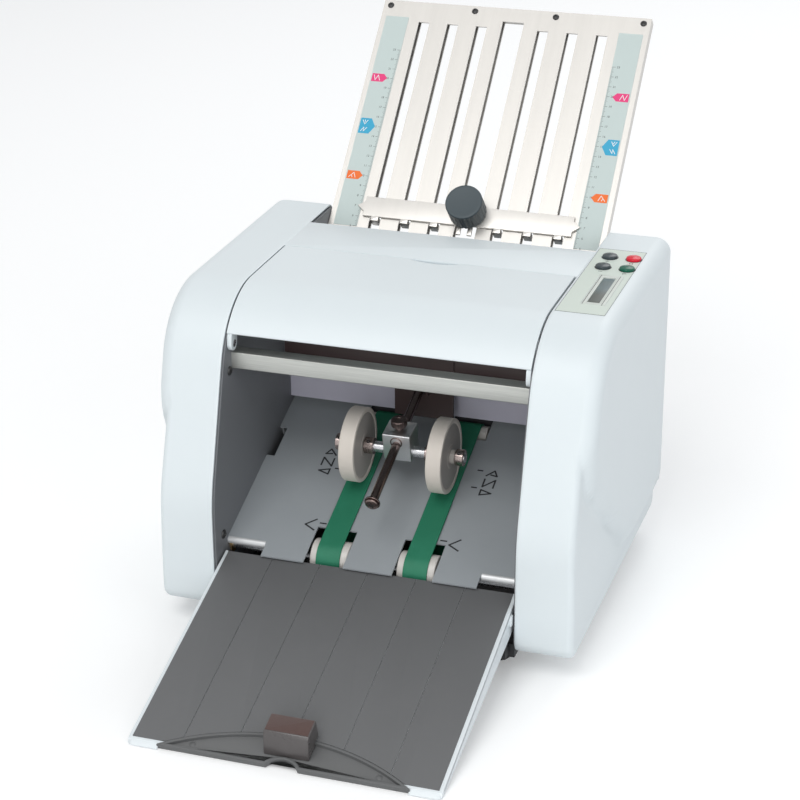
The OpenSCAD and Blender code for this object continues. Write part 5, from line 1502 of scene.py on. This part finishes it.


# Rolled front edge at both ends of the delivery plate: three quarters of a tube round the bend, a light sleeve
# over the plate's own rolled edge that paints its highlight
def makeRolls(s):
    t = np.radians(np.linspace(75, 290, 33))
    surfaces = []
    for side in (-1, 1):
        rings = [np.stack([q * np.cos(t), s["height"] + q * np.sin(t)], axis=1)
                 for q in (s["r"], s["r"] + 0.2)]
        section = np.concatenate([rings[1], rings[0][::-1]])
        x0, x1 = sorted(side * x for x in s["x"])
        points, faces = slabSurface(section, x0, x1, axes=(1, 2, 0))
        surfaces.append((onDelivery(points), faces))
    makeJoined("plateRolledEndHighlights", surfaces, "housing", "bar_steel", rollHighlight)


makeRolls(rollShape)

plateScrewShape = {"x": (38, 118.7), "along": 166.5, "r": 3, "height": 1.6, "socket": 1.1}


# Four button-head screws at the upper plate's head
def makePlateScrews(s):
    surfaces = []
    profile = [(-4.9, 1.45), (0.02, 1.45), (0.02, s["r"])] + buttonDome(s, 65)
    profile += [(0.6, s["socket"]), (0.5, 0.3)]
    for side in (-1, 1):
        for x in s["x"]:
            surfaces.append(standing(turnedSurface(profile, 40), onPlate, (side * x, s["along"], 0)))
    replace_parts(makeJoined("plateButtonScrews", surfaces, "upper_plate", "screw_black", screwBlack),
                "plate_screws")


makePlateScrews(plateScrewShape)
print("prints and screws ready")


buttonShape = {"x": 142.7, "y": 53.5, "stepX": 20.2, "stepY": 25, "r": 6.3, "top": 280.2, "low": 266.6,
               "flange": 273.5,
               "keys": {  # body: node, slot, finish, column and row
                   "front_grey_key": ("grey_button_front", "button_grey", buttonGrey, 0, 0),
                   "green_key": ("green_button", "button_green", buttonGreen, 1, 0),
                   "rear_grey_key": ("grey_button_rear", "button_grey", buttonGrey, 0, 1),
                   "red_key": ("red_button", "button_red", buttonRed, 1, 1)}}


# Push button: stem, flange and a cap with a shallow dome, its height falling with the square of the radius
def makeButtons(s):
    r, top = s["r"], s["top"]
    corner = [(top - 1.9 + 1.2 * math.sin(a), r - 1.2 + 1.2 * math.cos(a))
              for a in np.radians(np.linspace(0, 80, 7))]
    dome = [(top - 0.7 * (q / (r - 1.2)) ** 2, q) for q in (4.4, 3.6, 2.6, 1.6, 0.7, 0.15)]
    profile = [(s["low"], 3), (s["flange"] - 1.5, 3), (s["flange"] - 1.5, r + 1.2), (s["flange"], r + 1.2),
               (s["flange"], r)]
    profile += corner + dome
    for body, (nodeName, slot, finish, i, j) in s["keys"].items():
        points, faces = turnedSurface(profile, 72)
        local = points[:, [1, 2, 0]] + [s["x"] + i * s["stepX"], s["y"] + j * s["stepY"], 0]
        piece = makeJoined(nodeName.replace("_", "") + "Cap", [(local, faces)], body, slot, finish)
        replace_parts(piece, nodeName)


makeButtons(buttonShape)

displayShape = {"x": 154.75, "y": 1.5, "w": 19.5, "l": 67, "top": 277.4, "low": 264.7, "window": (4, 5.5, 4),
                "sunk": 1.2}


# Display: a frame with rounded edges round a window, and the glass sunk inside it
def makeDisplay(s):
    x0, x1, y0, y1 = s["x"] - s["w"] / 2, s["x"] + s["w"] / 2, s["y"] - s["l"] / 2, s["y"] + s["l"] / 2
    outer = roundRectangle(x0, x1, y0, y1, 0.8, 4)
    inner = roundRectangle(x0 + s["window"][0], x1 - s["window"][1], y0 + s["window"][2], y1 - s["window"][2],
                           0.5, 4)
    path = [(0, s["low"]), (0, s["top"] - 0.3), (0.04, s["top"] - 0.08), (0.1, s["top"]), (0.9, s["top"]),
            (0.97, s["top"] - 0.12), (1, s["top"] - 0.4), (1, s["top"] - s["sunk"] - 0.6)]
    grid = np.array([np.column_stack([outer * (1 - t) + inner * t, np.full(len(outer), z)]) for t, z in path])
    bezel = makePiece("displayFrame", *cappedGrid(grid), "housing", "display_dark", bezelPlastic)
    glass = boxSurface((inner[:, 0].min(), inner[:, 0].max()), (inner[:, 1].min(), inner[:, 1].max()),
                       (s["top"] - s["sunk"] - 0.5, s["top"] - s["sunk"]), 0.3)
    pane = makeJoined("displayGlassPaintedReflection", [glass], "housing", "display_dark", displayGlassPaintedReflection)
    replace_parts(bezel, "display_module")
    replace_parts(pane, "display_module")


makeDisplay(displayShape)

signShape = {"pen": 0.45, "low": 277.08, "high": 277.16, "below": 10.2,
             "signs": {  # column and row of the button, and the sign's strokes
                 (0, 0): [[(-1.6, 0), (1.6, 0)]],
                 (0, 1): [[(-1.6, 0), (1.6, 0)], [(0, -1.6), (0, 1.6)]],
                 (1, 1): [[(-1.3, -1.3), (1.3, -1.3), (1.3, 1.3), (-1.3, 1.3), (-1.3, -1.3)]],
                 (1, 0): [[(-1.2, -1.5), (1.6, 0), (-1.2, 1.5), (-1.2, -1.5)]]}}


# Plain signs by the buttons: minus and plus by the grey, a square by the red, a triangle by the green one
def makeSigns(s):
    b = buttonShape
    surfaces = []
    for (i, j), lines in s["signs"].items():
        at = np.array([b["x"] + i * b["stepX"], b["y"] + j * b["stepY"] - s["below"]])
        for line in lines:
            surfaces += strokeSurfaces(np.array(line) + at, s["pen"], s["low"], s["high"], np.asarray)
    makeJoined("buttonSigns", surfaces, "housing", "overlay_green", printGrey, smooth=False)


makeSigns(signShape)

outlineShape = {"overlay": (129.5, 169.5, -53, 98), "displayShadowX": (146.3, 161.9), "displayShadowY": (-32, 35),
                "pen": (0.22, 0.4), "ring": (6.35, 7.1), "low": 277.0, "high": (277.13, 277.46)}


# Printed dark hairline round the overlay; the dark lines on both long sides of the display frame and the dark
# rings round the buttons are painted shadows of the raised frame and the button caps
def makeOutlines(s):
    x0, x1, y0, y1 = s["overlay"]
    edge = [(x0, y0), (x1, y0), (x1, y1), (x0, y1), (x0, y0)]
    surfaces = strokeSurfaces(edge, s["pen"][0], s["low"], s["high"][0], np.asarray)
    # painted shadow along both long sides of the raised display frame
    y0, y1 = s["displayShadowY"]
    for x in s["displayShadowX"]:
        surfaces += strokeSurfaces([(x, y0), (x, y1)], s["pen"][1], s["low"], s["high"][1], np.asarray)
    # painted shadow: dark rings round the foot of the button caps
    b = buttonShape
    for i in (0, 1):
        for j in (0, 1):
            ring = [(s["low"], s["ring"][0]), (s["low"], s["ring"][1]), (s["high"][0], s["ring"][1]),
                    (s["high"][0], s["ring"][0])]
            points, faces = turnedSurface(ring, 48, closed=True)
            at = [b["x"] + i * b["stepX"], b["y"] + j * b["stepY"], 0]
            surfaces.append((points[:, [1, 2, 0]] + at, faces))
    makeJoined("panelOutlinesAndPaintedShadows", surfaces, "housing", "overlay_green", printBlack, smooth=False)


makeOutlines(outlineShape)
print("controls ready")


nodeFinish = {  # the CAD nodes that keep their own shape
    "base_pan": panPaint, "rubber_feet": footRubber, "left_side_frame": framePaint,
    "right_side_frame": framePaint, "frame_bushings": bushBrass, "hinge_pins": turnedSteel,
    "inner_back_plate": backPaint, "delivery_plate": platePaint, "front_delivery_shaft": turnedSteel,
    "rear_delivery_rollers": pulleyPlastic, "wheel_bracket": bracketPaint,
    "upper_plate_front_sheet": plateSteel, "lower_fold_plate": plateSteel, "lower_stop_bar": plateSteel,
    "lower_stop_knob": knobPlastic, "fold_roller_1": rollerRubber, "fold_roller_2": rollerRubber,
    "fold_roller_3": rollerRubber, "fold_roller_4": rollerRubber, "feed_roller": rollerRubber,
    "separation_pad": padRubber, "pressure_knob": knobPlastic, "feed_table": tablePaint,
    "left_side_guide": guidePlastic, "right_side_guide": guidePlastic, "drive_motor": motorPaint,
    "motor_pulley": turnedSteel, "drive_belts": driveRubber, "circuit_board": boardMask,
    "scale_labels": labelFoil, "control_overlay": overlayFoil, "power_module": inletPlastic,
    "power_switch": rockerPlastic}

for nodeName, material in nodeFinish.items():
    mesh = cadNodes[nodeName].data
    mesh.materials.clear()
    mesh.materials.append(material)
print("node finishes ready")
